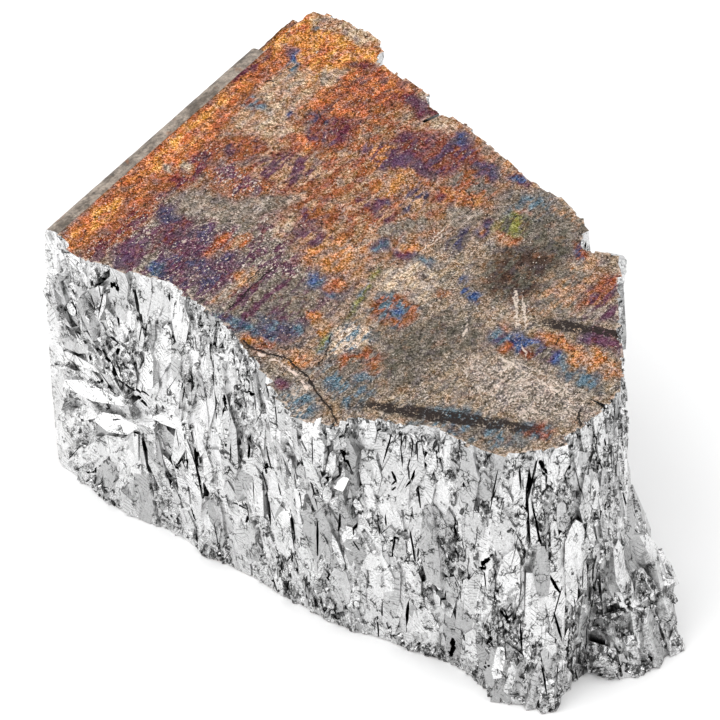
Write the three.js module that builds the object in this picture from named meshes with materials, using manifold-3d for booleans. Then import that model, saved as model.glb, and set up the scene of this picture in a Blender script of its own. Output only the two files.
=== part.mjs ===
/**
 * Bismuth metal chunk: the end corner broken off a cast ingot.
 *
 * The side that faces -X is the smooth mould wall, with a rounded rim along its top. The top is
 * the flat cast skin and the base is the ingot's flat bottom. Every other side is a coarse break
 * through tall crystal grains: flat cleaved plates, narrow shards and open clefts.
 *
 * Millimetres, +Z up. The origin is the centre of the chunk's box, on the base.
 */
import * as THREE from "three";
import { mergeVertices } from "three/addons/utils/BufferGeometryUtils.js";
import Module from "manifold-3d";

// Driving dimensions, in millimetres.
const THICKNESS = 42;
const WAIST_HEIGHT = 20;
const OVERRUN = 3;

// Mould wall and rim, in the plane across the ingot. The wall bellies out, and leans out at its foot.
const WALL_LEAN = 0.9;
const WALL_BELLY = 1.3;
const RIM_WIDTH = 1.9;
const RIM_DROP = 1.2;
const RIM_BULGE = -0.5;
const SKIN_STEP = 0.35;
const FOOT_RADIUS = 1.4;
// The far end of the rim is chipped away.
const RIM_CHIP = { start: 23.4, length: 20, width: 5, height: 5, inset: 1.3, drop: 2.6 };
const RIM_CHIP_TILT = 0.25;
const RIM_CHIP_SLANT = 0.06;
const SLAB_WIDTH = 100;
const SLAB_LENGTH = 90;

/**
 * The break, as stations around the chunk from the front end of the mould wall, counter-clockwise
 * seen from above. Each station is a point [x, y] of the break's plan at the top, the waist and
 * the foot. x is measured from the mould wall's line and y from the middle of the wall.
 */
const BREAK_STATIONS = [
  // Front break: a shallow bay, then a lobe of the top skin that hangs over the wall.
  { top: [-6, -21.4], waist: [-6, -21.2], foot: [-6, -21.0] },
  { top: [1.6, -21.6], waist: [1.6, -21.6], foot: [1.6, -21.6] },
  { top: [7.1, -24.2], waist: [6.6, -23.4], foot: [5.6, -22.6] },
  { top: [12.6, -22.8], waist: [12.6, -24.0], foot: [12.1, -23.9] },
  { top: [19.1, -21.4], waist: [18.6, -23.0], foot: [17.1, -23.1] },
  { top: [29, -23.8], waist: [28.1, -24.9], foot: [27.1, -24.1] },
  { top: [35.1, -27.2], waist: [34.1, -26.0], foot: [32.6, -23.9] },
  { top: [40.6, -30.0], waist: [39.6, -26.8], foot: [38.6, -24.4] },
  { top: [46.6, -33.4], waist: [45.1, -27.4], foot: [44.1, -24.8] },
  { top: [49.8, -33.0], waist: [49.6, -27.2], foot: [49.1, -24.4] },
  { top: [50.6, -30.0], waist: [52.6, -26.2], foot: [52.9, -23.2] },
  { top: [56.6, -26.9], waist: [57.1, -25.2], foot: [57.1, -23.5] },
  { top: [61.2, -25.2], waist: [62.1, -24.4], foot: [62.6, -22.4] },
  // Front right corner, which spreads into two lumps at the foot.
  { top: [67.1, -25.5], waist: [67.6, -25.2], foot: [67.2, -23.4] },
  { top: [70.9, -23.8], waist: [71.6, -24.4], foot: [71.6, -24.9] },
  { top: [73.9, -19.8], waist: [75.6, -21], foot: [77, -21.9] },
  { top: [74.7, -15.2], waist: [76.2, -16.4], foot: [76.4, -16.8] },
  { top: [75.1, -11.6], waist: [76.8, -12.8], foot: [77.6, -12.4] },
  { top: [74.9, -8.6], waist: [77.6, -10.6], foot: [80.6, -14.6] },
  { top: [73.5, -4.1], waist: [77.6, -7.0], foot: [84.2, -11.2] },
  // Back break, stepped in plan, running to the apex at the far end of the mould wall.
  { top: [70.4, 0], waist: [72.4, -1.2], foot: [85.4, -4.2] },
  { top: [66.4, 6.8], waist: [67.0, 6.2], foot: [75.2, 5] },
  { top: [63, 12.2], waist: [64.2, 12], foot: [66.6, 12.4] },
  { top: [57.8, 12.0], waist: [59, 14.2], foot: [60.2, 16] },
  { top: [55.4, 16.4], waist: [56, 17.8], foot: [56.6, 19] },
  { top: [51.8, 18.2], waist: [52.4, 19.6], foot: [53, 21] },
  { top: [45.6, 19.6], waist: [46, 21.2], foot: [46.6, 22.4] },
  { top: [38.8, 22.2], waist: [39, 23.6], foot: [39.1, 24.4] },
  { top: [32.2, 24.6], waist: [32, 26], foot: [31.6, 27.2] },
  { top: [27.2, 24.8], waist: [26.6, 26.8], foot: [26.1, 28.6] },
  { top: [25.2, 27], waist: [23.1, 28.2], foot: [22.1, 30] },
  { top: [15.8, 29.2], waist: [16.2, 30.6], foot: [16.1, 32] },
  { top: [13.8, 33.4], waist: [13, 34], foot: [12.1, 34.8] },
  { top: [7, 34.4], waist: [6.1, 34.8], foot: [6.1, 35.2] },
  { top: [1.6, 33.2], waist: [1.6, 33.6], foot: [1.6, 34] },
  { top: [-6, 32.6], waist: [-6, 33], foot: [-6, 33.4] },
];

// Grains of the break. Sizes are [least, most]; proud is how far a grain stands out of the break.
const GRAIN_DEPTH = 9;
const GRAIN_SIDES = 6;
const GRAIN_DRAFT = 0.85;
const PLATE = { pitch: 5, rows: 3, width: [4, 8], height: [12, 20], proud: [-0.7, 0.5], turn: 0.2 };
const SHARD = { pitch: 5.4, rows: 4, width: [1.8, 3.4], height: [6, 13], proud: [-0.2, 0.7], turn: 0.4 };
const CLEFT = { pitch: 15, rows: 2, width: [0.7, 1.4], height: [8, 15], proud: [1, 2], turn: 0.5 };
const CLEFT_DEPTH = 4;
const WALL_CLEARANCE = 4;
const LEAN_SPREAD = 0.14;
const PITCH_SPREAD = 0.07;
const SLOPE_SPAN = 5;
const MOST_SLOPE = 0.45;

// Near the mould wall the grains fan out from the wall instead of standing upright.
const FAN_REACH = 22;
const FAN_HEIGHT = 17;
const FAN_LEAN = 1.15;
const RANDOM_SEED = 7;

const METAL_COLOUR = 0xc9c9c7;
const METAL_ROUGHNESS = 0.35;

/** Repeatable random numbers from 0 to 1. */
function randomSource(seed) {
  let state = seed;
  return () => {
    state = (state + 0x6d2b79f5) | 0;
    let mixed = Math.imul(state ^ (state >>> 15), 1 | state);
    mixed = (mixed + Math.imul(mixed ^ (mixed >>> 7), 61 | mixed)) ^ mixed;
    return ((mixed ^ (mixed >>> 14)) >>> 0) / 2 ** 32;
  };
}

const random = randomSource(RANDOM_SEED);

/** A random number between two limits. */
function between([least, most]) {
  return least + (most - least) * random();
}

/** A random number from -spread to spread. */
function around(spread) {
  return between([-spread, spread]);
}

/** A closed solid from a geometry whose shared vertices are merged. */
function toSolid(wasm, geometry) {
  const bare = geometry.clone();
  bare.deleteAttribute("normal");
  bare.deleteAttribute("uv");
  const merged = mergeVertices(bare, 1e-4);
  const mesh = new wasm.Mesh({
    numProp: 3,
    vertProperties: new Float32Array(merged.attributes.position.array),
    triVerts: new Uint32Array(merged.index.array),
  });
  return new wasm.Manifold(mesh);
}

/** A geometry from a closed solid. */
function toGeometry(solid) {
  const mesh = solid.getMesh();
  const geometry = new THREE.BufferGeometry();
  geometry.setAttribute("position", new THREE.BufferAttribute(new Float32Array(mesh.vertProperties), 3));
  geometry.setIndex(new THREE.BufferAttribute(new Uint32Array(mesh.triVerts), 1));
  return geometry;
}

/**
 * The shell of a geometry that encloses everything else. Gaps that grains shut in and chips that
 * clefts cut loose are shells of their own, and are left out.
 */
function outerShell(geometry) {
  const { index, attributes } = geometry;
  const owner = Array.from({ length: attributes.position.count }, (_, vertex) => vertex);
  const find = (vertex) => {
    let root = vertex;
    while (owner[root] !== root) {
      owner[root] = owner[owner[root]];
      root = owner[root];
    }
    return root;
  };
  for (let i = 0; i < index.count; i += 3) {
    owner[find(index.getX(i))] = find(index.getX(i + 1));
    owner[find(index.getX(i + 1))] = find(index.getX(i + 2));
  }
  const shells = new Map();
  for (let i = 0; i < index.count; i += 3) {
    const root = find(index.getX(i));
    const corners = [index.getX(i), index.getX(i + 1), index.getX(i + 2)];
    shells.set(root, [...(shells.get(root) ?? []), corners]);
  }
  const largest = [...shells.values()].sort((a, b) => b.length - a.length)[0];
  const shell = geometry.clone();
  shell.setIndex(largest.flat());
  return mergeVertices(shell, 0);
}

/** A shape through plan points. */
function outlineShape(points) {
  return new THREE.Shape(points.map(([x, y]) => new THREE.Vector2(x, y)));
}

/**
 * The break's body: the top outline extruded in two steps, with the waist and the foot moved to
 * their own outlines. It runs past the top, the base and the mould wall, which the slab trims.
 */
function breakBody() {
  const geometry = new THREE.ExtrudeGeometry(outlineShape(BREAK_STATIONS.map((station) => station.top)), {
    depth: 2,
    steps: 2,
    bevelEnabled: false,
  });
  const levels = [
    { ring: "foot", z: -OVERRUN },
    { ring: "waist", z: WAIST_HEIGHT },
    { ring: "top", z: THICKNESS + OVERRUN },
  ];
  const position = geometry.attributes.position;
  for (let i = 0; i < position.count; i += 1) {
    const { ring, z } = levels[Math.round(position.getZ(i))];
    const station = BREAK_STATIONS.find(
      ({ top }) => Math.hypot(top[0] - position.getX(i), top[1] - position.getY(i)) < 1e-3,
    );
    position.setXYZ(i, station[ring][0], station[ring][1], z);
  }
  return geometry;
}

/** The ingot around the chunk: flat base and top, mould wall with its rim and rounded foot. */
function ingotSlab() {
  const profile = new THREE.Shape();
  profile.moveTo(FOOT_RADIUS - WALL_LEAN, 0);
  profile.lineTo(SLAB_WIDTH, 0);
  profile.lineTo(SLAB_WIDTH, THICKNESS);
  profile.lineTo(RIM_WIDTH + SKIN_STEP, THICKNESS);
  profile.lineTo(RIM_WIDTH, THICKNESS - SKIN_STEP);
  profile.quadraticCurveTo(RIM_BULGE, THICKNESS - SKIN_STEP, RIM_BULGE, THICKNESS - RIM_DROP);
  profile.quadraticCurveTo(-WALL_BELLY - WALL_LEAN / 2, WAIST_HEIGHT, -WALL_LEAN, FOOT_RADIUS);
  profile.quadraticCurveTo(-WALL_LEAN, 0, FOOT_RADIUS - WALL_LEAN, 0);
  const geometry = new THREE.ExtrudeGeometry(profile, {
    depth: SLAB_LENGTH,
    steps: 1,
    curveSegments: 5,
    bevelEnabled: false,
  });
  geometry.rotateX(Math.PI / 2);
  geometry.translate(0, SLAB_LENGTH / 2, 0);
  return geometry;
}

/** The bite out of the far end of the rim. */
function rimChip() {
  const chip = new THREE.BoxGeometry(RIM_CHIP.width, RIM_CHIP.length, RIM_CHIP.height);
  chip.translate(-RIM_CHIP.width / 2, RIM_CHIP.length / 2, RIM_CHIP.height / 2);
  chip.rotateY(RIM_CHIP_TILT);
  chip.rotateZ(-RIM_CHIP_SLANT);
  chip.translate(RIM_CHIP.inset, RIM_CHIP.start, THICKNESS - RIM_CHIP.drop);
  return chip;
}

/** The length of the break's waist from a station to the next one. */
function stationSpan(index) {
  const [from, to] = [BREAK_STATIONS[index].waist, BREAK_STATIONS[index + 1].waist];
  return Math.hypot(to[0] - from[0], to[1] - from[1]);
}

/** A station's plan point at a height, between the waist and the top or the foot. */
function stationPoint(index, height) {
  const station = BREAK_STATIONS[index];
  const waist = new THREE.Vector2(...station.waist);
  if (height > WAIST_HEIGHT) {
    const rise = (height - WAIST_HEIGHT) / (THICKNESS - WAIST_HEIGHT);
    return waist.lerp(new THREE.Vector2(...station.top), rise);
  }
  return waist.lerp(new THREE.Vector2(...station.foot), 1 - height / WAIST_HEIGHT);
}

/**
 * A point of the break, from a distance round the waist and a height, with its outward direction
 * and how steeply the break spreads outwards below it.
 */
function breakPoint(distance, height) {
  let left = distance;
  let index = 0;
  while (index < BREAK_STATIONS.length - 2 && left > stationSpan(index)) {
    left -= stationSpan(index);
    index += 1;
  }
  const share = left / stationSpan(index);
  const planPoint = (level) => stationPoint(index, level).lerp(stationPoint(index + 1, level), share);
  const along = stationPoint(index + 1, height).sub(stationPoint(index, height)).normalize();
  const outward = new THREE.Vector3(along.y, -along.x, 0);
  const point = planPoint(height);
  const spread = planPoint(height - SLOPE_SPAN).sub(planPoint(height + SLOPE_SPAN));
  const rise = Math.atan2(spread.x * outward.x + spread.y * outward.y, 2 * SLOPE_SPAN);
  return {
    point: new THREE.Vector3(point.x, point.y, height),
    outward,
    slope: THREE.MathUtils.clamp(rise, -MOST_SLOPE, MOST_SLOPE),
  };
}

/** How far a grain leans, so that grains near the mould wall fan out from it. */
function fanLean(point) {
  const nearness = Math.max(0, 1 - point.x / FAN_REACH);
  const side = THREE.MathUtils.clamp((FAN_HEIGHT - point.z) / FAN_HEIGHT, -1, 1);
  return -FAN_LEAN * nearness * side;
}

/** Blades of one kind of grain, scattered evenly over the break, clear of the mould wall. */
function scatterGrains(kind, depth) {
  const lead = stationSpan(0) + WALL_CLEARANCE;
  const tail = stationSpan(BREAK_STATIONS.length - 2) + WALL_CLEARANCE;
  const whole = BREAK_STATIONS.slice(1).reduce((sum, _, index) => sum + stationSpan(index), 0);
  const columns = Math.round((whole - lead - tail) / kind.pitch);
  const grains = [];
  for (let column = 0; column < columns; column += 1) {
    for (let row = 0; row < kind.rows; row += 1) {
      const distance = lead + (column + random()) * kind.pitch;
      const height = ((row + random()) / kind.rows) * THICKNESS;
      const { point, outward, slope } = breakPoint(distance, height);
      const blade = new THREE.CylinderGeometry(1, GRAIN_DRAFT, depth, GRAIN_SIDES);
      blade.scale(between(kind.width) / 2, 1, between(kind.height) / 2);
      blade.translate(0, depth / 2 - between(kind.proud), 0);
      blade.rotateY(fanLean(point) + around(LEAN_SPREAD));
      blade.rotateX(around(PITCH_SPREAD) - slope);
      blade.rotateZ(Math.atan2(outward.y, outward.x) + Math.PI / 2 + around(kind.turn));
      blade.translate(point.x, point.y, point.z);
      grains.push(blade);
    }
  }
  return grains;
}

/** The whole chunk: the break's body with its grains and clefts, trimmed by the ingot's faces. */
async function buildChunk() {
  const wasm = await Module();
  wasm.setup();
  let broken = toSolid(wasm, breakBody());
  for (const grain of [...scatterGrains(PLATE, GRAIN_DEPTH), ...scatterGrains(SHARD, GRAIN_DEPTH)]) {
    broken = broken.add(toSolid(wasm, grain));
  }
  for (const cleft of scatterGrains(CLEFT, CLEFT_DEPTH)) {
    broken = broken.subtract(toSolid(wasm, cleft));
  }
  const trimmed = broken.intersect(toSolid(wasm, ingotSlab())).subtract(toSolid(wasm, rimChip()));
  const geometry = outerShell(toGeometry(trimmed));
  geometry.computeBoundingBox();
  const middle = geometry.boundingBox.getCenter(new THREE.Vector3());
  geometry.translate(-middle.x, -middle.y, 0);
  geometry.computeVertexNormals();
  return geometry;
}

const metal = new THREE.MeshStandardMaterial({
  color: METAL_COLOUR,
  roughness: METAL_ROUGHNESS,
  metalness: 1,
});

const chunk = new THREE.Mesh(await buildChunk(), metal);
chunk.name = "bismuth_chunk";

const specimen = new THREE.Group();
specimen.name = "bismuth_specimen";
specimen.add(chunk);

export default specimen;
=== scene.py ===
"""Bismuth metal chunk: the visible model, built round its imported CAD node.

The chunk is the end corner of a cast ingot. Its top is the cast skin with a rainbow oxide tarnish,
the side that faces -X is the smooth mould wall, the base is flat, and every other side is a coarse
silvery break through tall crystal grains. Metres and +Z up, in the frame of the CAD.
"""

import logging
import math
import random
from dataclasses import dataclass, field
from enum import Enum, IntEnum
from typing import Iterable

import bmesh
import bpy
import numpy as np
from mathutils import Matrix, Vector, noise
from mathutils.bvhtree import BVHTree
from mathutils.kdtree import KDTree


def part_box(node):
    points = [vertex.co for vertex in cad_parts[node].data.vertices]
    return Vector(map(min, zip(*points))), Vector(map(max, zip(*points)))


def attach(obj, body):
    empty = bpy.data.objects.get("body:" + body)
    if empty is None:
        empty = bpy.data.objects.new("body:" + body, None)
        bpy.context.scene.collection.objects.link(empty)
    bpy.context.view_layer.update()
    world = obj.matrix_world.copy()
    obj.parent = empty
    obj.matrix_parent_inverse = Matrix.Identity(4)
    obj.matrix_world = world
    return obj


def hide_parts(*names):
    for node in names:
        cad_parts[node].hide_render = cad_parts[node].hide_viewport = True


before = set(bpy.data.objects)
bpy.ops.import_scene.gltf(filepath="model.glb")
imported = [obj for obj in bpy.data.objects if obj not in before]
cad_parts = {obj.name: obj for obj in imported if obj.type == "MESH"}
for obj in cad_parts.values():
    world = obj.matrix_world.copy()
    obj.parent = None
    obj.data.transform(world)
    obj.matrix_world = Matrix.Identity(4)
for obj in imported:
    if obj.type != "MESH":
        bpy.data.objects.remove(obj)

MM = 0.001
CAD_NODE = "bismuth_chunk"
NOISE_SEED = 7
Range = tuple[float, float]
Point = tuple[float, float]
Colour = tuple[float, float, float, float]
Solid = bpy.types.Object
Mesh = bmesh.types.BMesh
Socket = bpy.types.NodeSocket
log = logging.getLogger("bismuth")


class Face(IntEnum):
    """The material slot of each kind of face on the chunk."""

    BREAK = 0
    SKIN = 1
    MOULD = 2


class Cut(Enum):
    """How one solid is combined with another."""

    JOIN = "UNION"
    CARVE = "DIFFERENCE"
    TRIM = "INTERSECT"


def linear(red: float, green: float, blue: float) -> Colour:
    """Turns a display colour into the linear colour that shaders take.

    Args:
        red: Red, from 0 to 255.
        green: Green, from 0 to 255.
        blue: Blue, from 0 to 255.

    Returns:
        The linear colour, with full alpha.
    """
    def channel(value: float) -> float:
        """One channel in linear light."""
        share = value / 255
        return share / 12.92 if share <= 0.04045 else ((share + 0.055) / 1.055) ** 2.4

    return channel(red), channel(green), channel(blue), 1.0


def add_object(name: str, data: bpy.types.ID) -> Solid:
    """Makes an object and links it to the scene.

    Args:
        name: The object's name.
        data: Its mesh, light or camera.

    Returns:
        The object.
    """
    made = bpy.data.objects.new(name, data)
    bpy.context.scene.collection.objects.link(made)
    return made


def new_object(name: str, bm: Mesh) -> Solid:
    """Makes an object of a bmesh, with the chunk's three material slots, and frees the bmesh.

    Args:
        name: The object's name.
        bm: The shape, in metres.

    Returns:
        The new object.
    """
    mesh = bpy.data.meshes.new(name)
    bm.to_mesh(mesh)
    bm.free()
    for kind in Face:
        slot = f"slot_{kind.name.lower()}"
        mesh.materials.append(bpy.data.materials.get(slot) or bpy.data.materials.new(slot))
    return add_object(name, mesh)


def closed_object(name: str, bm: Mesh) -> Solid:
    """Makes an object of a closed bmesh, with its faces turned outwards.

    Args:
        name: The object's name.
        bm: The closed shape, in metres.

    Returns:
        The object.
    """
    bm.normal_update()
    bmesh.ops.recalc_face_normals(bm, faces=bm.faces)
    return new_object(name, bm)


def combine(target: Solid, tools: list[Solid], cut: Cut) -> None:
    """Combines a closed solid with others, which are used up.

    Args:
        target: The solid that is changed.
        tools: The solids that are joined to it, carved from it or trim it.
        cut: How they are combined.
    """
    shelf = bpy.data.collections.new("tools")
    bpy.context.scene.collection.children.link(shelf)
    for tool in tools:
        bpy.context.scene.collection.objects.unlink(tool)
        shelf.objects.link(tool)
    modifier = target.modifiers.new("cut", "BOOLEAN")
    modifier.solver = "MANIFOLD"
    modifier.operation = cut.value
    modifier.operand_type = "COLLECTION"
    modifier.collection = shelf
    evaluated = target.evaluated_get(bpy.context.evaluated_depsgraph_get())
    mesh = bpy.data.meshes.new_from_object(evaluated)
    target.modifiers.clear()
    old = target.data
    target.data = mesh
    bpy.data.meshes.remove(old)
    bpy.data.collections.remove(shelf)
    for tool in tools:
        used = tool.data
        bpy.data.objects.remove(tool)
        bpy.data.meshes.remove(used)


# --- The break: where it lies, and the grains in it ---


@dataclass
class BreakSurvey:
    """Finds places on the break of the CAD chunk, by distance round it and by height.

    Attributes:
        tree: The CAD chunk's faces.
        low: The lowest corner of the chunk's box.
        high: The highest corner of the chunk's box.
        first_angle: Direction of the break's front end at the mould wall, in degrees.
        last_angle: Direction of its back end, in degrees.
        calm: How far round the break its direction is averaged.
        step: Spacing of the surveyed points.
        slope_span: Height over and under a place between which its slope is measured.
        steepest: Most lean that is measured, in radians.
        reach: A distance from the middle that lies clear of the chunk.
        clear: A distance out of the break that lies clear of it, in millimetres.
        margin: How far from the base and the top the break is looked for.
        points: Evenly spaced points round the break, in plan.
        outward: The direction out of the break at each of them.
    """

    tree: BVHTree
    low: Vector
    high: Vector
    first_angle: float = -150.5
    last_angle: float = 142.0
    calm: float = 7 * MM
    step: float = 0.5 * MM
    slope_span: float = 3.5 * MM
    steepest: float = 0.5
    reach: float = 120 * MM
    clear: float = 20
    margin: float = 0.4 * MM
    points: np.ndarray = field(init=False)
    outward: np.ndarray = field(init=False)

    def __post_init__(self) -> None:
        """Walks round the break at mid height and keeps evenly spaced points and directions."""
        middle = (self.low.z + self.high.z) / 2
        found = []
        for angle in np.radians(np.arange(self.first_angle, self.last_angle, 0.4)):
            out = Vector((math.cos(angle), math.sin(angle), 0))
            hit = self.tree.ray_cast(out * self.reach + Vector((0, 0, middle)), -out)[0]
            found.append((hit.x, hit.y))
        walk = np.array(found)
        spans = np.linalg.norm(np.diff(walk, axis=0), axis=1)
        along = np.concatenate([[0], np.cumsum(np.minimum(spans, 2 * MM))])
        places = np.arange(0, along[-1], self.step)
        even = np.stack([np.interp(places, along, walk[:, axis]) for axis in (0, 1)], axis=1)
        width = int(self.calm / self.step)
        padded = np.pad(even, ((width, width), (0, 0)), mode="reflect", reflect_type="odd")
        kernel = np.ones(2 * width + 1) / (2 * width + 1)
        smooth = np.stack([np.convolve(padded[:, axis], kernel, "valid") for axis in (0, 1)], axis=1)
        forward = np.gradient(smooth, axis=0)
        forward /= np.linalg.norm(forward, axis=1, keepdims=True)
        self.points = smooth
        self.outward = np.stack([forward[:, 1], -forward[:, 0]], axis=1)

    @property
    def length(self) -> float:
        """The distance round the whole break."""
        return self.step * (len(self.points) - 1)

    def place(self, distance: float, height: float) -> tuple[Vector, Vector]:
        """Finds one place on the break.

        Args:
            distance: Distance round the break from its front end.
            height: Height above the base.

        Returns:
            The point on the CAD surface, and the level direction out of the break there.
        """
        index = max(0, min(len(self.points) - 1, round(distance / self.step)))
        out = Vector((*self.outward[index], 0))
        start = Vector((*self.points[index], 0)) + out * self.clear * MM
        start.z = max(self.low.z + self.margin, min(self.high.z - self.margin, height))
        hit = self.tree.ray_cast(start, -out, 3 * self.clear * MM)[0]
        point = hit if hit is not None else start - out * self.clear * MM
        point.z = height
        return point, out

    def slope(self, distance: float, height: float) -> float:
        """How far the break leans out below a place.

        Args:
            distance: Distance round the break from its front end.
            height: Height above the base.

        Returns:
            The lean in radians.
        """
        under, out = self.place(distance, max(self.low.z, height - self.slope_span))
        over, _ = self.place(distance, min(self.high.z, height + self.slope_span))
        lean = math.atan2((under - over).dot(out), over.z - under.z)
        return max(-self.steepest, min(self.steepest, lean))


@dataclass(frozen=True)
class GrainKind:
    """One kind of grain in the break, or of cleft between grains. Lengths are in millimetres.

    Attributes:
        name: What a maker would call it.
        pitch: Spacing round the break.
        rise: Spacing up the break.
        width: Least and most width.
        height: Least and most height along the grain.
        depth: How deep it goes into the chunk.
        proud: Least and most distance that it stands out of the CAD surface.
        edge: Most that one of its edges stands out further than its middle.
        lean: Most lean to the side, in radians.
        sides: Least and most number of sides.
        draft: Least and most width of its face, as a share of its back.
        band: Lowest and highest place, as shares of the chunk's height.
        share: Share of the places that get one.
        calm: How flat its face is, from 0 to 1.
        torn: How torn the break has to be for it to appear, from 0 to 1.
        buried: Whether it stays under the top skin.
    """

    name: str
    pitch: float
    rise: float
    width: Range
    height: Range
    depth: float
    proud: Range
    edge: float
    lean: float
    sides: tuple[int, int] = (5, 7)
    draft: Range = (0.7, 0.92)
    band: Range = (0.0, 1.0)
    share: float = 1.0
    calm: float = 0.0
    torn: float = 0.0
    buried: bool = False


GRAINS = (
    GrainKind("plate", 3.4, 6.5, (2.4, 5.0), (8, 18), 5, (0.05, 0.4), 0.16, 0.13, share=0.9, calm=1.0),
    GrainKind("leaf", 2.2, 5.0, (1.1, 2.4), (4, 10), 4, (0.15, 0.5), 0.2, 0.22, share=0.5, calm=0.8),
    GrainKind("blade", 1.4, 2.8, (0.6, 1.6), (2.0, 6.5), 4, (0.15, 0.6), 0.35, 0.4, share=0.9, calm=0.4,
              torn=0.5),
    GrainKind("flake", 1.04, 1.42, (0.35, 1.0), (0.8, 2.6), 3, (0.15, 0.5), 0.35, 0.8, (4, 6), share=0.85,
              torn=0.56),
    GrainKind("chill", 0.8, 0.88, (0.35, 0.9), (0.5, 1.5), 2, (0.0, 0.4), 0.3, 0.6, (4, 6), band=(0.94, 1.0),
              share=0.8),
    GrainKind("crumb", 0.9, 0.8, (0.5, 1.2), (0.5, 1.5), 2, (0.0, 0.5), 0.4, 1.2, (4, 6), band=(0.0, 0.07),
              share=0.8),
)
CLEFTS = (
    GrainKind("cleft", 2.4, 5.0, (0.12, 0.5), (2.0, 10.0), 3, (0.4, 1.2), 0.2, 0.22, (5, 6), share=0.34,
              buried=True),
    GrainKind("nick", 2.8, 3.2, (0.2, 0.7), (0.6, 2.4), 1.6, (0.3, 1.0), 0.4, 0.8, (4, 5), share=0.32,
              torn=0.54, buried=True),
)


@dataclass(frozen=True)
class Landmark:
    """One grain or hollow at a listed place. Lengths are in millimetres.

    Attributes:
        distance: Distance round the break from its front end.
        height: Height above the base.
        width: Its width.
        length: Its length.
        lean: Lean of its length, in degrees, clockwise from upright as seen from outside.
        tone: Its brightness: below 1 as its neighbours', and above 1 brighter, as a painted highlight.
    """

    distance: float
    height: float
    width: float
    length: float
    lean: float = 0.0
    tone: float = 0.5


PLATES = [Landmark(*row) for row in (
    # The bright fan near the mould wall, its brightest plates with a painted highlight.
    (7.2, 19.8, 3.2, 16, 70, 1.5), (10.8, 16.4, 4.0, 10, 64, 1.5), (7.9, 10.3, 2.8, 15, 43, 1.4),
    (6, 15.2, 2.0, 10, 54, 1.2), (5.4, 24, 1.6, 9, 76, 1.1), (3.4, 25.5, 2.2, 9, 68, 1.4),
    (15, 18, 3.2, 8, 78, 1.5), (20.2, 20.4, 1.7, 9, 84, 1.4), (16.6, 27, 2.0, 9, 4, 1.3),
    (5, 30.6, 1.6, 9, 112, 0.7),
    # Broad flat grains.
    (13, 35, 2.6, 9, 0), (19, 32, 2.4, 11, 4, 1.15), (9, 6, 2.6, 8, 8, 0.1), (28.6, 18, 5.0, 10, 4),
    (36.6, 19, 4.4, 15, -3), (43.2, 13, 3.8, 11, 3), (48.2, 12, 3.6, 17, -2, 1.1), (53.6, 9, 4.0, 10, 2),
    (60, 11.4, 4.0, 18, 2), (67.6, 22, 3.4, 17, -4, 1.1), (75.6, 36.4, 2.4, 5, -4, 0.05),
    (78.4, 7.6, 1.7, 7, 4, 1.4), (89, 24, 3.2, 13, 4), (93.6, 31, 2.4, 10, -8), (97, 17, 2.8, 11, 6, 1.1),
)]
PITS = [Landmark(*row) for row in (
    (11.4, 39.2, 1.3, 1.9, 75), (37.4, 36.2, 1.0, 2.6, 80), (11.6, 25.1, 0.8, 10, 125),
    (14.8, 21.6, 0.9, 2.6, 125), (8.6, 22.2, 0.8, 2.0, 20), (32.2, 13.3, 0.5, 3.4, 76),
    (33.4, 9.6, 0.8, 6, 4), (40.2, 24, 0.8, 2.2, 10), (30, 29.8, 0.9, 2.6, -30), (51.4, 9.8, 0.6, 1.6, 0),
    (54.8, 31.8, 0.9, 1.8, 60), (62.6, 31.8, 0.7, 3.4, 0), (64.4, 34, 0.5, 6, 2), (69.6, 3.6, 1.2, 4.6, 8),
    (75.6, 23, 1.5, 2.8, 15), (76.8, 10.6, 1.3, 2.6, 10), (76.6, 6.2, 0.9, 1.6, 0),
    (79, 15.4, 1.2, 2.0, 100), (85.8, 17, 0.6, 13, -6), (87.8, 37, 1.4, 2.6, 70), (84, 39, 0.9, 3.0, 0),
)]


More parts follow.
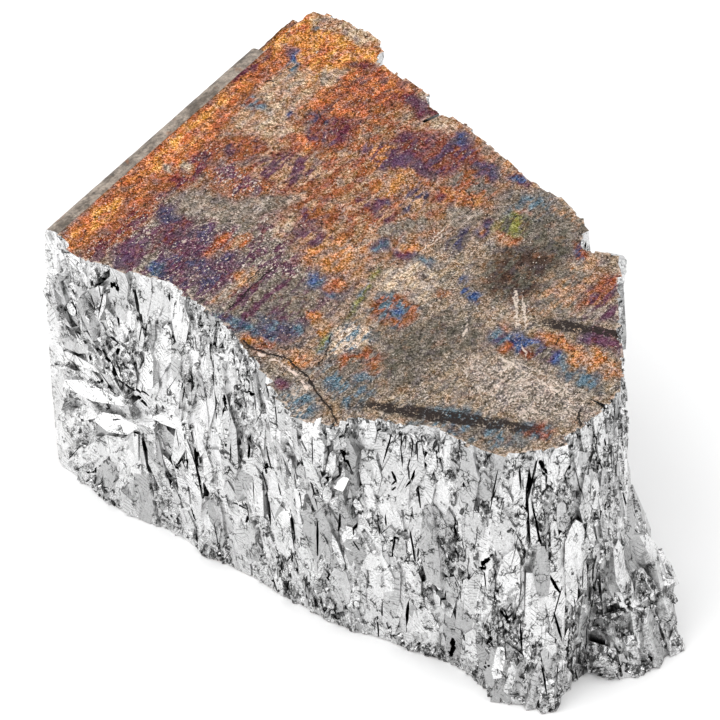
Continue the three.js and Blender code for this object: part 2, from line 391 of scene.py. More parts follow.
@dataclass
class GrainField:
    """Scatters grains over the break.

    Attributes:
        survey: Where the break lies.
        fan_centre: Level distance from the mould wall and height of the point that the grains
            near the wall fan out from, in millimetres.
        fan_reach: How far from the wall the fan goes, in millimetres.
        seed: Seed of the random numbers.
    """

    survey: BreakSurvey
    fan_centre: tuple[float, float] = (16.0, 19.0)
    fan_reach: float = 26.0
    seed: int = 12

    def __post_init__(self) -> None:
        """Starts the random numbers."""
        self.dice = random.Random(self.seed)

    def _around(self, spread: float) -> float:
        """A random number from -spread to spread."""
        return self.dice.uniform(-spread, spread)

    def _fan_lean(self, point: Vector) -> float:
        """How far a grain leans to follow the fan near the mould wall.

        Args:
            point: A place on the break.

        Returns:
            The lean to the side, in radians, as seen from outside.
        """
        from_wall = (point.x - self.survey.low.x) / MM
        nearness = max(0.0, min(1.0, (self.fan_reach - from_wall) / (self.fan_reach / 2)))
        across = from_wall - self.fan_centre[0]
        up = point.z / MM - self.fan_centre[1]
        lean = math.atan(across / up) if abs(up) > 0.1 else math.copysign(math.pi / 2, across * up)
        side = 1 if self.survey.place(0, point.z)[0].y * point.y > 0 else -1
        return nearness * lean * side

    def _seat(self, spot: tuple[Vector, Vector], spin: Matrix, depth: float, proud: float,
              size: Point) -> Matrix:
        """Seats a grain in the break. Lengths are in millimetres.

        Args:
            spot: A point on the break, and the level direction out of it.
            spin: The grain's turn.
            depth: How deep it is.
            proud: How far it stands out.
            size: Its width and length.

        Returns:
            The matrix that places a unit prism whose axis is Y, with its face towards -Y.
        """
        point, out = spot
        axes = Matrix((Vector((-out.y, out.x, 0)), -out, Vector((0, 0, 1)))).transposed().to_4x4()
        sink = Matrix.Translation((0, depth / 2 - proud, 0))
        scale = Matrix.Diagonal((size[0], depth, size[1], 1))
        return Matrix.Translation(point) @ axes @ Matrix.Scale(MM, 4) @ spin @ sink @ scale

    def _place(self, kind: GrainKind, distance: float, height: float) -> Matrix:
        """Draws one grain's size and place.

        Args:
            kind: The kind of grain.
            distance: Distance round the break.
            height: Height above the base.

        Returns:
            The grain's matrix.
        """
        width = self.dice.uniform(*kind.width)
        length = self.dice.uniform(*kind.height)
        tall = self.survey.high.z
        if kind.buried:
            height = min(height, tall - (length / 2 + 0.5) * MM)
        spot = self.survey.place(distance, height)
        rim = min(1.0, max(0.0, min(height, tall - height) / (2.5 * MM)))
        proud = self.dice.uniform(*kind.proud) * (0.35 + 0.65 * rim)
        turn = self._around(min(0.7, kind.edge / (width / 2)))
        tilt = self._around(min(0.5, kind.edge / (length / 2)))
        lean = self._fan_lean(spot[0]) + self._around(kind.lean)
        spin = (
            Matrix.Rotation(turn, 4, "Z")
            @ Matrix.Rotation(tilt - self.survey.slope(distance, height), 4, "X")
            @ Matrix.Rotation(lean, 4, "Y")
        )
        return self._seat(spot, spin, kind.depth, proud, (width, length))

    def _torn(self, distance: float, height: float) -> float:
        """How torn the break is at a place: more so at the right and beside the mould wall.

        Args:
            distance: Distance round the break.
            height: Height above the base.

        Returns:
            About 0 where it is whole, to 1 where it is all splinters.
        """
        spot = Vector((distance * 0.13, height * 0.08, 0)) / MM
        right = max(0.0, min(1.0, (distance / MM - 62) / 16))
        wall = max(0.0, 1 - distance / MM / 5)
        return 0.5 + 0.08 * right + 0.12 * wall + 0.8 * noise.noise(spot) + 0.3 * noise.noise(spot * 2.7)

    def scatter(self, kind: GrainKind) -> list[Matrix]:
        """Places every grain of one kind.

        Args:
            kind: The kind of grain.

        Returns:
            The grains' matrices.
        """
        grains = []
        tall = self.survey.high.z
        bottom, top = kind.band[0] * tall, kind.band[1] * tall
        columns = int(self.survey.length / (kind.pitch * MM))
        rows = max(1, round((top - bottom) / (kind.rise * MM)))
        for column in range(columns):
            for row in range(rows):
                distance = (column + self.dice.random()) * kind.pitch * MM
                height = bottom + (row + self.dice.random()) / rows * (top - bottom)
                torn = self._torn(distance, height) + self._around(0.08)
                if self.dice.random() <= kind.share and torn >= kind.torn:
                    grains.append(self._place(kind, distance, height))
        return grains

    def solids(self, kind: GrainKind) -> list[Solid]:
        """Makes the grains of one kind as few objects, each of grains that don't touch.

        Args:
            kind: The kind of grain.

        Returns:
            The objects, each closed and free of overlaps.
        """
        corners = np.array([(x, y, z, 1) for x in (-0.6, 0.6) for y in (-0.5, 0.5) for z in (-0.6, 0.6)])
        groups: list[dict] = []
        for place in self.scatter(kind):
            spots = corners @ np.array(place).T
            low, high = spots[:, :3].min(0) - 0.02 * MM, spots[:, :3].max(0) + 0.02 * MM
            for group in groups:
                lows, highs = np.array(group["low"]), np.array(group["high"])
                if not np.any(np.all((lows < high) & (highs > low), axis=1)):
                    break
            else:
                group = {"low": [], "high": [], "places": []}
                groups.append(group)
            group["low"].append(low)
            group["high"].append(high)
            group["places"].append(place)
        return [
            self._prisms(f"{kind.name}_grains", (
                (place, self.dice.randint(*kind.sides), self.dice.uniform(*kind.draft), self.dice.random(),
                 kind.calm) for place in group["places"]
            )) for group in groups
        ]

    def _prisms(self, name: str, shapes: Iterable[tuple]) -> Solid:
        """Makes one object of uneven prisms.

        Args:
            name: The object's name.
            shapes: For each prism its matrix, number of sides, width of its face as a share of its
            back, brightness (random, and above 1 a painted highlight), and how flat its face is.

        Returns:
            The object, with each prism's tone and calmness on its faces.
        """
        bm = bmesh.new()
        tones = bm.faces.layers.float.new("tone")
        calms = bm.faces.layers.float.new("calm")
        for place, sides, draft, tone, calm in shapes:
            made = bmesh.ops.create_cone(bm, cap_ends=True, segments=sides, radius1=0.5, radius2=0.5,
                                         depth=1)["verts"]
            phase = self.dice.uniform(0, math.tau)
            turns = [phase + (side + self._around(0.28)) * math.tau / sides for side in range(sides)]
            reach = [self.dice.uniform(0.8, 1.15) for _ in range(sides)]
            for vert in made:
                side = math.floor(math.atan2(vert.co.y, vert.co.x) / math.tau * sides + 0.1) % sides
                radius = 0.5 * reach[side] * (draft if vert.co.z > 0 else 1)
                spot = (radius * math.cos(turns[side]), -vert.co.z, radius * math.sin(turns[side]))
                vert.co = place @ Vector(spot)
            for face in {face for vert in made for face in vert.link_faces}:
                face[tones] = tone
                face[calms] = calm
        return closed_object(name, bm)

    def tattered(self, mark: Landmark) -> list[Landmark]:
        """Breaks one hollow up into three smaller ones that overlap along its length.

        Args:
            mark: The hollow.

        Returns:
            The three parts of it.
        """
        turn = math.radians(mark.lean)
        pieces = []
        for step in (-0.28, 0.0, 0.28):
            along, aside = step * mark.length, self._around(0.3 * mark.width)
            pieces.append(Landmark(
                mark.distance + math.sin(turn) * along + math.cos(turn) * aside,
                mark.height + math.cos(turn) * along - math.sin(turn) * aside,
                mark.width * self.dice.uniform(0.35, 0.8), mark.length * self.dice.uniform(0.35, 0.6),
                mark.lean + self._around(35), mark.tone,
            ))
        return pieces

    def landmark(self, mark: Landmark, depth: float, proud: float) -> Solid:
        """Makes one grain or hollow at a listed place.

        Args:
            mark: Where it lies and how large it is.
            depth: How deep it goes, in millimetres.
            proud: How far it stands out, in millimetres.

        Returns:
            The solid.
        """
        distance, height = mark.distance * MM, mark.height * MM
        spot = self.survey.place(distance, height)
        spin = (Matrix.Rotation(-self.survey.slope(distance, height), 4, "X")
                @ Matrix.Rotation(math.radians(mark.lean), 4, "Y"))
        place = self._seat(spot, spin, depth, proud, (mark.width * 1.1, mark.length))
        return self._prisms("landmark", [(place, 6, 0.85, mark.tone, 1.0)])


# --- The cast faces: top skin, mould wall and base ---


@dataclass
class CastSlab:
    """The ingot's cast faces, as a solid that trims the break. Lengths are in millimetres.

    Attributes:
        wall_x: Where the mould wall's line is.
        thickness: Thickness of the ingot.
        inset: How far the cast faces lie inside the CAD's.
        wall_inset: How much further the mould wall lies inside.
        wall_lean: How far the wall's foot stands out, by its draft.
        wall_belly: How far its middle bulges.
        rim_width: Width of the ledge along the top of the wall.
        rim_drop: How far the wall stops below the skin.
        rim_bulge: How far the wall's top stands in.
        skin_step: Height of the step from the ledge to the skin.
        foot_radius: Radius of the wall's foot.
        waist: Height of the belly.
        width: Width of the slab.
        length: Length of the slab.
        cell: Size of its smallest cells.
    """

    wall_x: float
    thickness: float
    inset: float = 0.12
    wall_inset: float = 0.12
    wall_lean: float = 0.9
    wall_belly: float = 1.3
    rim_width: float = 1.9
    rim_drop: float = 1.2
    rim_bulge: float = -0.5
    skin_step: float = 0.35
    foot_radius: float = 1.4
    waist: float = 20.0
    width: float = 100.0
    length: float = 90.0
    cell: float = 0.6

    def _curve(self, start: Point, bend: Point, end: Point, steps: int) -> list[Point]:
        """Points along a quadratic curve, without its last point.

        Args:
            start: First point, across and up.
            bend: Control point.
            end: Last point.
            steps: Number of points.

        Returns:
            The points.
        """
        return [
            tuple((1 - t) ** 2 * a + 2 * t * (1 - t) * b + t * t * c for a, b, c in zip(start, bend, end))
            for t in (step / steps for step in range(steps))
        ]

    def _line(self, start: Point, end: Point, cell: float) -> list[Point]:
        """Evenly spaced points along a line, without its last point.

        Args:
            start: First point, across and up.
            end: Last point.
            cell: About how far apart they lie.

        Returns:
            The points.
        """
        steps = max(1, round(math.dist(start, end) / cell))
        return [
            (start[0] + (end[0] - start[0]) * step / steps, start[1] + (end[1] - start[1]) * step / steps)
            for step in range(steps)
        ]

    def _profile(self) -> list[tuple[float, float, Face]]:
        """The slab's section across the ingot, from the base round the wall to the top.

        Returns:
            Each point's distance from the wall's line, its height and the kind of face it starts.
        """
        inset, top = self.inset, self.thickness - self.inset
        foot = (self.foot_radius - self.wall_lean, inset)
        toe = (inset - self.wall_lean, self.foot_radius)
        brow = (self.rim_bulge + inset, top - self.rim_drop)
        rim = (self.rim_width, top - self.skin_step)
        skin = (self.rim_width + self.skin_step, top)
        belly = (-self.wall_belly - self.wall_lean / 2 + inset, self.waist)
        parts = (
            (self._line((self.width, inset), foot, 6), Face.MOULD),
            (self._curve(foot, (toe[0], inset), toe, 5), Face.MOULD),
            (self._curve(toe, belly, brow, 34), Face.MOULD),
            (self._curve(brow, (brow[0], rim[1]), rim, 5), Face.MOULD),
            (self._line(rim, skin, 0.3), Face.SKIN),
            (self._line(skin, (self.width, top), self.cell), Face.SKIN),
            (self._line((self.width, top), (self.width, inset), 60), Face.BREAK),
        )
        return [(x, z, kind) for points, kind in parts for x, z in points]

    def _relief(self, spot: Vector, kind: Face) -> float:
        """How far a cast face stands in or out at a place, in millimetres.

        Args:
            spot: The place, in millimetres.
            kind: The kind of cast face.

        Returns:
            The height of the face's relief there.
        """
        if kind is Face.SKIN:
            swell = noise.noise(spot * 0.11) * 0.11
            grain = noise.noise(Vector((spot.x * 0.9, spot.y * 0.35, 7))) * 0.045
            return min(0.1, swell + grain + noise.noise(spot * 1.9) * 0.02)
        ripple = noise.noise(Vector((spot.x * 0.4, spot.y * 0.05, spot.z * 0.6))) * 0.07
        return min(0.1, ripple + noise.noise(spot * 0.9) * 0.05)

    def build(self) -> Solid:
        """Sweeps the section along the ingot and gives its faces their relief.

        Returns:
            The closed slab.
        """
        profile = self._profile()
        rows = round(self.length / self.cell)
        bm = bmesh.new()
        ring = [bm.verts.new((0, 0, 0)) for _ in profile]
        rings, edges = [ring], [bm.edges.new(pair) for pair in zip(ring, ring[1:] + ring[:1])]
        for _ in range(rows):
            extruded = bmesh.ops.extrude_edge_only(bm, edges=edges)["geom"]
            edges = [item for item in extruded if isinstance(item, bmesh.types.BMEdge)]
            rings.append([item for item in extruded if isinstance(item, bmesh.types.BMVert)])
        for row, verts in enumerate(rings):
            y = (row / rows - 0.5) * self.length
            for index, vert in enumerate(verts):
                x, z, kind = profile[index]
                spot = Vector((x + self.wall_x, y, z))
                lift = self._relief(spot, kind)
                if z > self.thickness - 3 * self.inset:
                    spot += Vector((0, 0, lift))
                elif z < 2 * self.inset:
                    spot -= Vector((0, 0, lift))
                else:
                    spot += Vector((self.wall_inset - lift, 0, 0))
                vert.co = spot * MM
        for verts in (rings[0], rings[-1]):
            bm.faces.new(verts)
        rim_x = (self.wall_x + self.rim_width + self.skin_step / 2) * MM
        for face in bm.faces:
            middle = face.calc_center_median()
            on_top = middle.z > (self.thickness - 4 * self.inset) * MM and middle.x > rim_x
            face.material_index = Face.SKIN if on_top else Face.MOULD
        return closed_object("cast_slab", bm)


@dataclass
class RimChip:
    """The bite out of the far end of the rim, in millimetres.

    Attributes:
        wall_x: Where the mould wall's line is.
        start: Where the bite starts along the wall.
        top: Height of the ingot.
        length: Length of the solid that is carved away.
        width: Its width.
        height: Its height.
        inset: How far it bites in from the mould wall.
        drop: How far it bites down from the top.
        tilt: Its lean across the rim, in radians.
        slant: Its turn along the rim, in radians.
        rough: How far its surface wanders.
    """

    wall_x: float
    start: float
    top: float
    length: float = 20.0
    width: float = 5.0
    height: float = 5.0
    inset: float = 1.2
    drop: float = 2.8
    tilt: float = 0.25
    slant: float = -0.06
    rough: float = 0.35

    def build(self) -> Solid:
        """Makes the solid that is carved from the rim.

        Returns:
            The solid.
        """
        bm = bmesh.new()
        bmesh.ops.create_cube(bm, size=1, matrix=Matrix.Diagonal((self.width, self.length, self.height, 1)))
        bmesh.ops.translate(bm, verts=bm.verts, vec=(-self.width / 2, self.length / 2, self.height / 2))
        bmesh.ops.subdivide_edges(bm, edges=bm.edges, cuts=31, use_grid_fill=True)
        for vert in bm.verts:
            vert.co += noise.noise_vector(vert.co * 0.8) * self.rough
        spin = Matrix.Rotation(self.slant, 4, "Z") @ Matrix.Rotation(self.tilt, 4, "Y")
        shift = Matrix.Translation((self.wall_x + self.inset, self.start, self.top - self.drop))
        bmesh.ops.transform(bm, matrix=Matrix.Scale(MM, 4) @ shift @ spin, verts=bm.verts)
        for face in bm.faces:
            face.material_index = Face.SKIN
        return new_object("rim_chip", bm)


# --- The chunk ---


@dataclass(frozen=True)
class FlatSheet:
    """Where the chunk's faces go when they are laid out flat, in millimetres.

    Attributes:
        wall: Where the mould wall's column starts.
        wall_scale: The mould wall's scale along and up.
        base: Where the base starts above the mould wall.
        base_scale: The base's scale.
        strips: Where the two strips of the break start.
        heights: First, last and step of the heights that the break is laid out from.
        deepest: Depth in the break after which it is drawn in no further.
        shear: How far depth in the break moves a place, along and up.
        filled: How much of the sheet is filled.
        margin: Its free edge.
    """

    wall: float = 88.0
    wall_scale: Point = (0.8, 0.98)
    base: float = 43.0
    base_scale: float = 0.38
    strips: Point = (72.0, 116.0)
    heights: tuple[int, int, int] = (1, 42, 4)
    deepest: float = 4.0
    shear: Point = (0.25, 0.2)
    filled: float = 0.995
    margin: Point = (0.002, 0.002)

    def cast_place(self, kind: Face, normal: Vector, spot: Vector, height: float) -> Point:
        """Where a corner of a cast face goes.

        Args:
            kind: The kind of cast face.
            normal: Its direction.
            spot: The corner, from the lowest corner of the chunk's box.
            height: The corner's height.

        Returns:
            The place on the sheet.
        """
        if kind is Face.SKIN:
            return spot.x, spot.y
        if abs(normal.z) > 0.7:
            return self.wall + spot.x * self.base_scale, self.base + spot.y * self.base_scale
        return self.wall + spot.y * self.wall_scale[0], height * self.wall_scale[1]


@dataclass
class BismuthChunk:
    """The whole chunk: the CAD node with fine grains added, trimmed by the cast faces.

    Attributes:
        name: Name of the finished piece.
        sight_reach: How far away a face still shades another.
        rays: Rays that measure how open a place on a face lies.
        samples: Most places measured on one face.
        flat: Angle under which two faces become one.
        chip_start: Where the bite out of the rim starts, in millimetres.
        survey: Where the break lies.
    """

    name: str = "broken_ingot_corner"
    chip_start: float = 22.2
    sight_reach: float = 3.5 * MM
    rays: int = 12
    samples: int = 4
    flat: float = 0.02
    survey: BreakSurvey = field(init=False)

    def _core(self) -> Solid:
        """Makes a merged copy of the CAD node.

        Returns:
            The copy, with its break called calm.
        """
        bm = bmesh.new()
        bm.from_mesh(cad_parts[CAD_NODE].data)
        bmesh.ops.remove_doubles(bm, verts=bm.verts, dist=0.0005 * MM)
        loose = [edge for edge in bm.edges if not edge.is_manifold]
        log.info("core: %d faces, %d open edges", len(bm.faces), len(loose))
        bm.faces.layers.float.new("tone")
        calm = bm.faces.layers.float.new("calm")
        for face in bm.faces:
            face.material_index = Face.BREAK
            face[calm] = 1.0
        return new_object(self.name, bm)

    def build(self) -> Solid:
        """Builds the solid.

        Returns:
            The chunk, with its face kinds set.
        """
        low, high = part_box(CAD_NODE)
        chunk = self._core()
        tree = BVHTree.FromObject(chunk, bpy.context.evaluated_depsgraph_get())
        self.survey = BreakSurvey(tree, low, high)
        grains = GrainField(self.survey)
        wall_x, thickness = low.x / MM + 1.17, (high.z - low.z) / MM
        joined = [solid for kind in GRAINS for solid in grains.solids(kind)]
        joined += [grains.landmark(mark, 5, 0.55 if mark.tone < 1.3 else 0.85) for mark in PLATES]
        combine(chunk, joined, Cut.JOIN)
        log.info("joined %d groups of grains: %d faces", len(joined), len(chunk.data.polygons))
        clefts = [solid for kind in CLEFTS for solid in grains.solids(kind)]
        pits = [grains.landmark(piece, 3.0, 1.4) for mark in PITS for piece in grains.tattered(mark)]
        for carved in (clefts, pits, [RimChip(wall_x, self.chip_start, thickness).build()]):
            combine(chunk, carved, Cut.CARVE)
        log.info("carved: %d faces", len(chunk.data.polygons))
        combine(chunk, [CastSlab(wall_x, thickness).build()], Cut.TRIM)
        self._keep_largest(chunk)
        log.info("trimmed: %d faces", len(chunk.data.polygons))
        return chunk

    def _keep_largest(self, chunk: Solid) -> None:
        """Drops chips that hang free of the chunk, and gaps shut inside it.

        Args:
            chunk: The chunk.
        """
        bm = bmesh.new()
        bm.from_mesh(chunk.data)
        left = set(bm.faces)
        islands = []
        while left:
            island = {left.pop()}
            front = list(island)
            while front:
                face = front.pop()
                for edge in face.edges:
                    for other in edge.link_faces:
                        if other in left:
                            left.discard(other)
                            island.add(other)
                            front.append(other)
            islands.append(island)
        islands.sort(key=len)
        doomed = [face for island in islands[:-1] for face in island]
        bmesh.ops.delete(bm, geom=doomed, context="FACES")
        broken = [vert for vert in bm.verts
                  if all(face.material_index == Face.BREAK for face in vert.link_faces)]
        inside = set(broken)
        edges = [edge for edge in bm.edges if inside.issuperset(edge.verts)]
        bmesh.ops.dissolve_limit(bm, edges=edges, verts=broken, angle_limit=self.flat)
        bm.to_mesh(chunk.data)
        bm.free()

    def _directions(self) -> list[Vector]:
        """Spreads directions evenly over a dome, leaning towards its crown.

        Returns:
            The directions.
        """
        golden = math.pi * (3 - math.sqrt(5))
        spread = []
        for index in range(self.rays):
            rise = math.sqrt(1 - (index + 0.5) / self.rays)
            level = math.sqrt(1 - rise * rise)
            spread.append(Vector((level * math.cos(golden * index), level * math.sin(golden * index), rise)))
        return spread

    def measure(self, chunk: Solid) -> None:
        """Stores how open each face lies, which the finishes use for painted shade, and how near each point
        is to the edge of the skin.

        Args:
            chunk: The chunk.
        """
        bm = bmesh.new()
        bm.from_mesh(chunk.data)
        self._measure_openness(bm)
        TarnishedSkin().paint(bm)
        self._measure_border(bm, "edge", {Face.SKIN, Face.BREAK})
        self._measure_border(bm, "rim", {Face.SKIN, Face.MOULD})
        for face in bm.faces:
            face.smooth = face.material_index != Face.BREAK
        for edge in bm.edges:
            kinds = {face.material_index for face in edge.link_faces}
            edge.smooth = kinds in ({Face.SKIN}, {Face.MOULD}) and edge.calc_face_angle(0) < 0.6
        bm.to_mesh(chunk.data)
        bm.free()

    def _measure_openness(self, bm: Mesh) -> None:
        """Stores how open each face lies, from 0 in a deep cleft to 1 in the open, for the painted shade in
        clefts.

        Args:
            bm: The chunk's mesh.
        """
        tree = BVHTree.FromBMesh(bm)
        dome = self._directions()
        layer = bm.faces.layers.float.new("open")
        spots: dict = {}
        for corners in bm.calc_loop_triangles():
            first, second, third = (corner.vert.co for corner in corners)
            area = (second - first).cross(third - first).length
            spots.setdefault(corners[0].face, []).append((area, tuple((first + second + third) / 3)))
        for face, found in spots.items():
            turn = face.normal.to_track_quat("Z", "Y")
            ways = [turn @ way for way in dome]
            found.sort(reverse=True)
            clear, total = 0.0, 0.0
            for area, spot in found[: self.samples]:
                start = Vector(spot) + face.normal * 0.02 * MM
                clear += area * sum(tree.ray_cast(start, way, self.sight_reach)[0] is None for way in ways)
                total += area
            face[layer] = clear / max(total, 1e-20) / self.rays

    def _measure_border(self, bm: Mesh, name: str, kinds: set[Face]) -> None:
        """Stores how far each point lies from the border of two kinds of face, in millimetres.

        Args:
            bm: The chunk's mesh.
            name: Name of the layer.
            kinds: The two kinds of face.
        """
        layer = bm.verts.layers.float.new(name)
        border = [edge for edge in bm.edges if {face.material_index for face in edge.link_faces} == kinds]
        near = KDTree(len(border))
        for index, edge in enumerate(border):
            near.insert((edge.verts[0].co + edge.verts[1].co) / 2, index)
        near.balance()
        for vert in bm.verts:
            vert[layer] = near.find(vert.co)[2] / MM

    def unroll(self, chunk: Solid, sheet: FlatSheet) -> None:
        """Lays the chunk's faces out flat: skin, mould wall and base in plan, the break in two strips.

        Args:
            chunk: The chunk.
            sheet: Where each part goes.
        """
        survey = self.survey
        places = [(distance * MM, height * MM) for distance in np.arange(0, survey.length / MM, 1.0)
                  for height in range(*sheet.heights)]
        known = [survey.place(*place) for place in places]
        near = KDTree(len(known))
        for index, (point, _) in enumerate(known):
            near.insert(point, index)
        near.balance()
        bm = bmesh.new()
        bm.from_mesh(chunk.data)
        flat = bm.loops.layers.uv.new("OFBake")
        low, half, across = survey.low / MM, survey.length / MM / 2, 0.0
        for face in bm.faces:
            if face.material_index == Face.BREAK:
                index = near.find(face.calc_center_median())[1]
                point, out = known[index]
                ahead = Vector((-out.y, out.x, 0))
                distance = places[index][0] / MM
                strip = 0 if distance < half else 1
            for loop in face.loops:
                spot = loop.vert.co / MM
                if face.material_index == Face.BREAK:
                    off = spot - point / MM
                    depth = max(-sheet.deepest, min(sheet.deepest, off.dot(out)))
                    place = (1 + distance - strip * half + off.dot(ahead) + sheet.shear[0] * depth,
                             sheet.strips[strip] + spot.z + sheet.shear[1] * depth)
                else:
                    place = sheet.cast_place(Face(face.material_index), face.normal, spot - low, spot.z)
                across = max(across, *place)
                loop[flat].uv = place
        for face in bm.faces:
            for loop in face.loops:
                loop[flat].uv = loop[flat].uv * (sheet.filled / across) + Vector(sheet.margin)
        bm.to_mesh(chunk.data)
        bm.free()
        log.info("laid out flat over %.0f mm", across)

    def dress(self, chunk: Solid) -> None:
        """Gives the chunk its materials and puts it in the frame.

        Args:
            chunk: The chunk.
        """
        finishes = {Face.BREAK: CleavedMetal(), Face.SKIN: TarnishedSkin(), Face.MOULD: MouldSkin()}
        for kind, finish in finishes.items():
            chunk.data.materials[kind] = finish.material()
        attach(chunk, "root")
        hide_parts(CAD_NODE)


# --- Finishes ---


class NodeBench:
    """A material's node tree, with short calls that add nodes and return their outputs."""

    def __init__(self, name: str) -> None:
        """Starts a material with a principled surface.

        Args:
            name: The material's name.
        """
        self.material = bpy.data.materials.new(name)
        self.material.use_nodes = True
        self.tree = self.material.node_tree
        self.surface = self.tree.nodes["Principled BSDF"]

    def add(self, kind: str, inputs: dict, **settings: object) -> bpy.types.Node:
        """Adds a node.

        Args:
            kind: The node's type, without the ShaderNode prefix.
            inputs: Values or output sockets, by input name or number.
            settings: Properties of the node.

        Returns:
            The node.
        """
        node = self.tree.nodes.new(f"ShaderNode{kind}")
        for key, value in settings.items():
            setattr(node, key, value)
        for key, value in inputs.items():
            self.set(node.inputs[key], value)
        return node

    def set(self, socket: Socket, value: object) -> None:
        """Joins an output to a socket, or sets the socket's value.

        Args:
            socket: The input.
            value: The output or the value.
        """
        if isinstance(value, Socket):
            self.tree.links.new(value, socket)
        else:
            socket.default_value = value

    def millimetres(self) -> Socket:
        """The piece's own coordinates, in millimetres."""
        return self.scale(self.add("TexCoord", {}).outputs["Object"], 1 / MM)

    def attribute(self, name: str, output: str = "Fac") -> Socket:
        """A number or a colour stored on the mesh."""
        return self.add("Attribute", {}, attribute_name=name).outputs[output]

    def math(self, operation: str, first: object, second: object = 0.0) -> Socket:
        """The result of a sum on one or two numbers."""
        return self.add("Math", {0: first, 1: second}, operation=operation).outputs[0]

    def plus(self, total: object, *parts: object) -> Socket:
        """Adds numbers up.

        Args:
            total: The first number.
            parts: The others.

        Returns:
            Their sum.
        """
        for part in parts:
            total = self.math("ADD", total, part)
        return total

    def times(self, product: object, *factors: object) -> Socket:
        """Multiplies numbers.

        Args:
            product: The first number.
            factors: The others.

        Returns:
            Their product.
        """
        for factor in factors:
            product = self.math("MULTIPLY", product, factor)
        return product

    def away(self, value: object, level: float) -> Socket:
        """How far a number lies from a level, on either side."""
        return self.math("ABSOLUTE", self.math("SUBTRACT", value, level))

    def channel(self, colour: Socket, index: int) -> Socket:
        """One channel of a colour."""
        return self.add("SeparateColor", {0: colour}).outputs[index]

    def darken(self, colour: Socket, factor: object) -> Socket:
        """A colour times a number."""
        return self.mix(1.0, colour, self.grey(factor), "MULTIPLY")

    def vector(self, operation: str, first: object, second: object = (0, 0, 0)) -> Socket:
        """The result of a sum on one or two vectors."""
        return self.add("VectorMath", {0: first, 1: second}, operation=operation).outputs[0]

    def scale(self, vector: object, factor: object) -> Socket:
        """A vector made longer or shorter."""
        return self.add("VectorMath", {0: vector, "Scale": factor}, operation="SCALE").outputs[0]

    def drift(self, vector: object, scale: float, reach: float) -> Socket:
        """Coordinates that wander, so that what lies on them gets a ragged outline."""
        wander = self.cloud(vector, scale, 3.0, 0.6, "Color")
        return self.vector("ADD", vector, self.scale(self.vector("SUBTRACT", wander, (0.5, 0.5, 0.5)), reach))

    def stretch(self, vector: Socket, scale: tuple, turn: float = 0.0) -> Socket:
        """Coordinates scaled by axis, after a turn about the vertical."""
        return self.add("Mapping", {"Vector": vector, "Scale": scale, "Rotation": (0, 0, turn)}).outputs[0]

    def cloud(self, vector: object, scale: float, detail: float = 3.0, rough: float = 0.55,
              output: int | str = 0) -> Socket:
        """Soft noise, as a number or a colour."""
        inputs = {"Vector": vector, "Scale": scale, "Detail": detail, "Roughness": rough}
        return self.add("TexNoise", inputs).outputs[output]

    def cells(self, vector: object, scale: float) -> Socket:
        """Random colours, one for each cell."""
        return self.add("TexVoronoi", {"Vector": vector, "Scale": scale}).outputs["Color"]

    def range(self, value: object, low: float, high: float, to: Range = (0.0, 1.0)) -> Socket:
        """A number moved smoothly from one range to another."""
        inputs = {"Value": value, "From Min": low, "From Max": high, "To Min": to[0], "To Max": to[1]}
        return self.add("MapRange", inputs, interpolation_type="SMOOTHSTEP").outputs[0]

    def mix(self, share: object, first: object, second: object, blend: str = "MIX") -> Socket:
        """A blend of two colours."""
        return self.add("Mix", {0: share, 6: first, 7: second}, data_type="RGBA", blend_type=blend).outputs[2]

    def grey(self, value: object) -> Socket:
        """A grey colour from a number."""
        return self.add("CombineColor", {0: value, 1: value, 2: value}).outputs[0]

    def bump(self, height: object, distance: float, strength: float, under: object = (0, 0, 0)) -> Socket:
        """A shading direction from a height."""
        inputs = {"Height": height, "Distance": distance, "Strength": strength, "Normal": under}
        return self.add("Bump", inputs).outputs[0]

    def finish(self, **sockets: object) -> bpy.types.Material:
        """Sets the surface's sockets and returns the material.

        Args:
            sockets: Values or outputs, by socket name with spaces as underscores.

        Returns:
            The finished material.
        """
        for key, value in sockets.items():
            self.set(self.surface.inputs[key.replace("_", " ")], value)
        return self.material


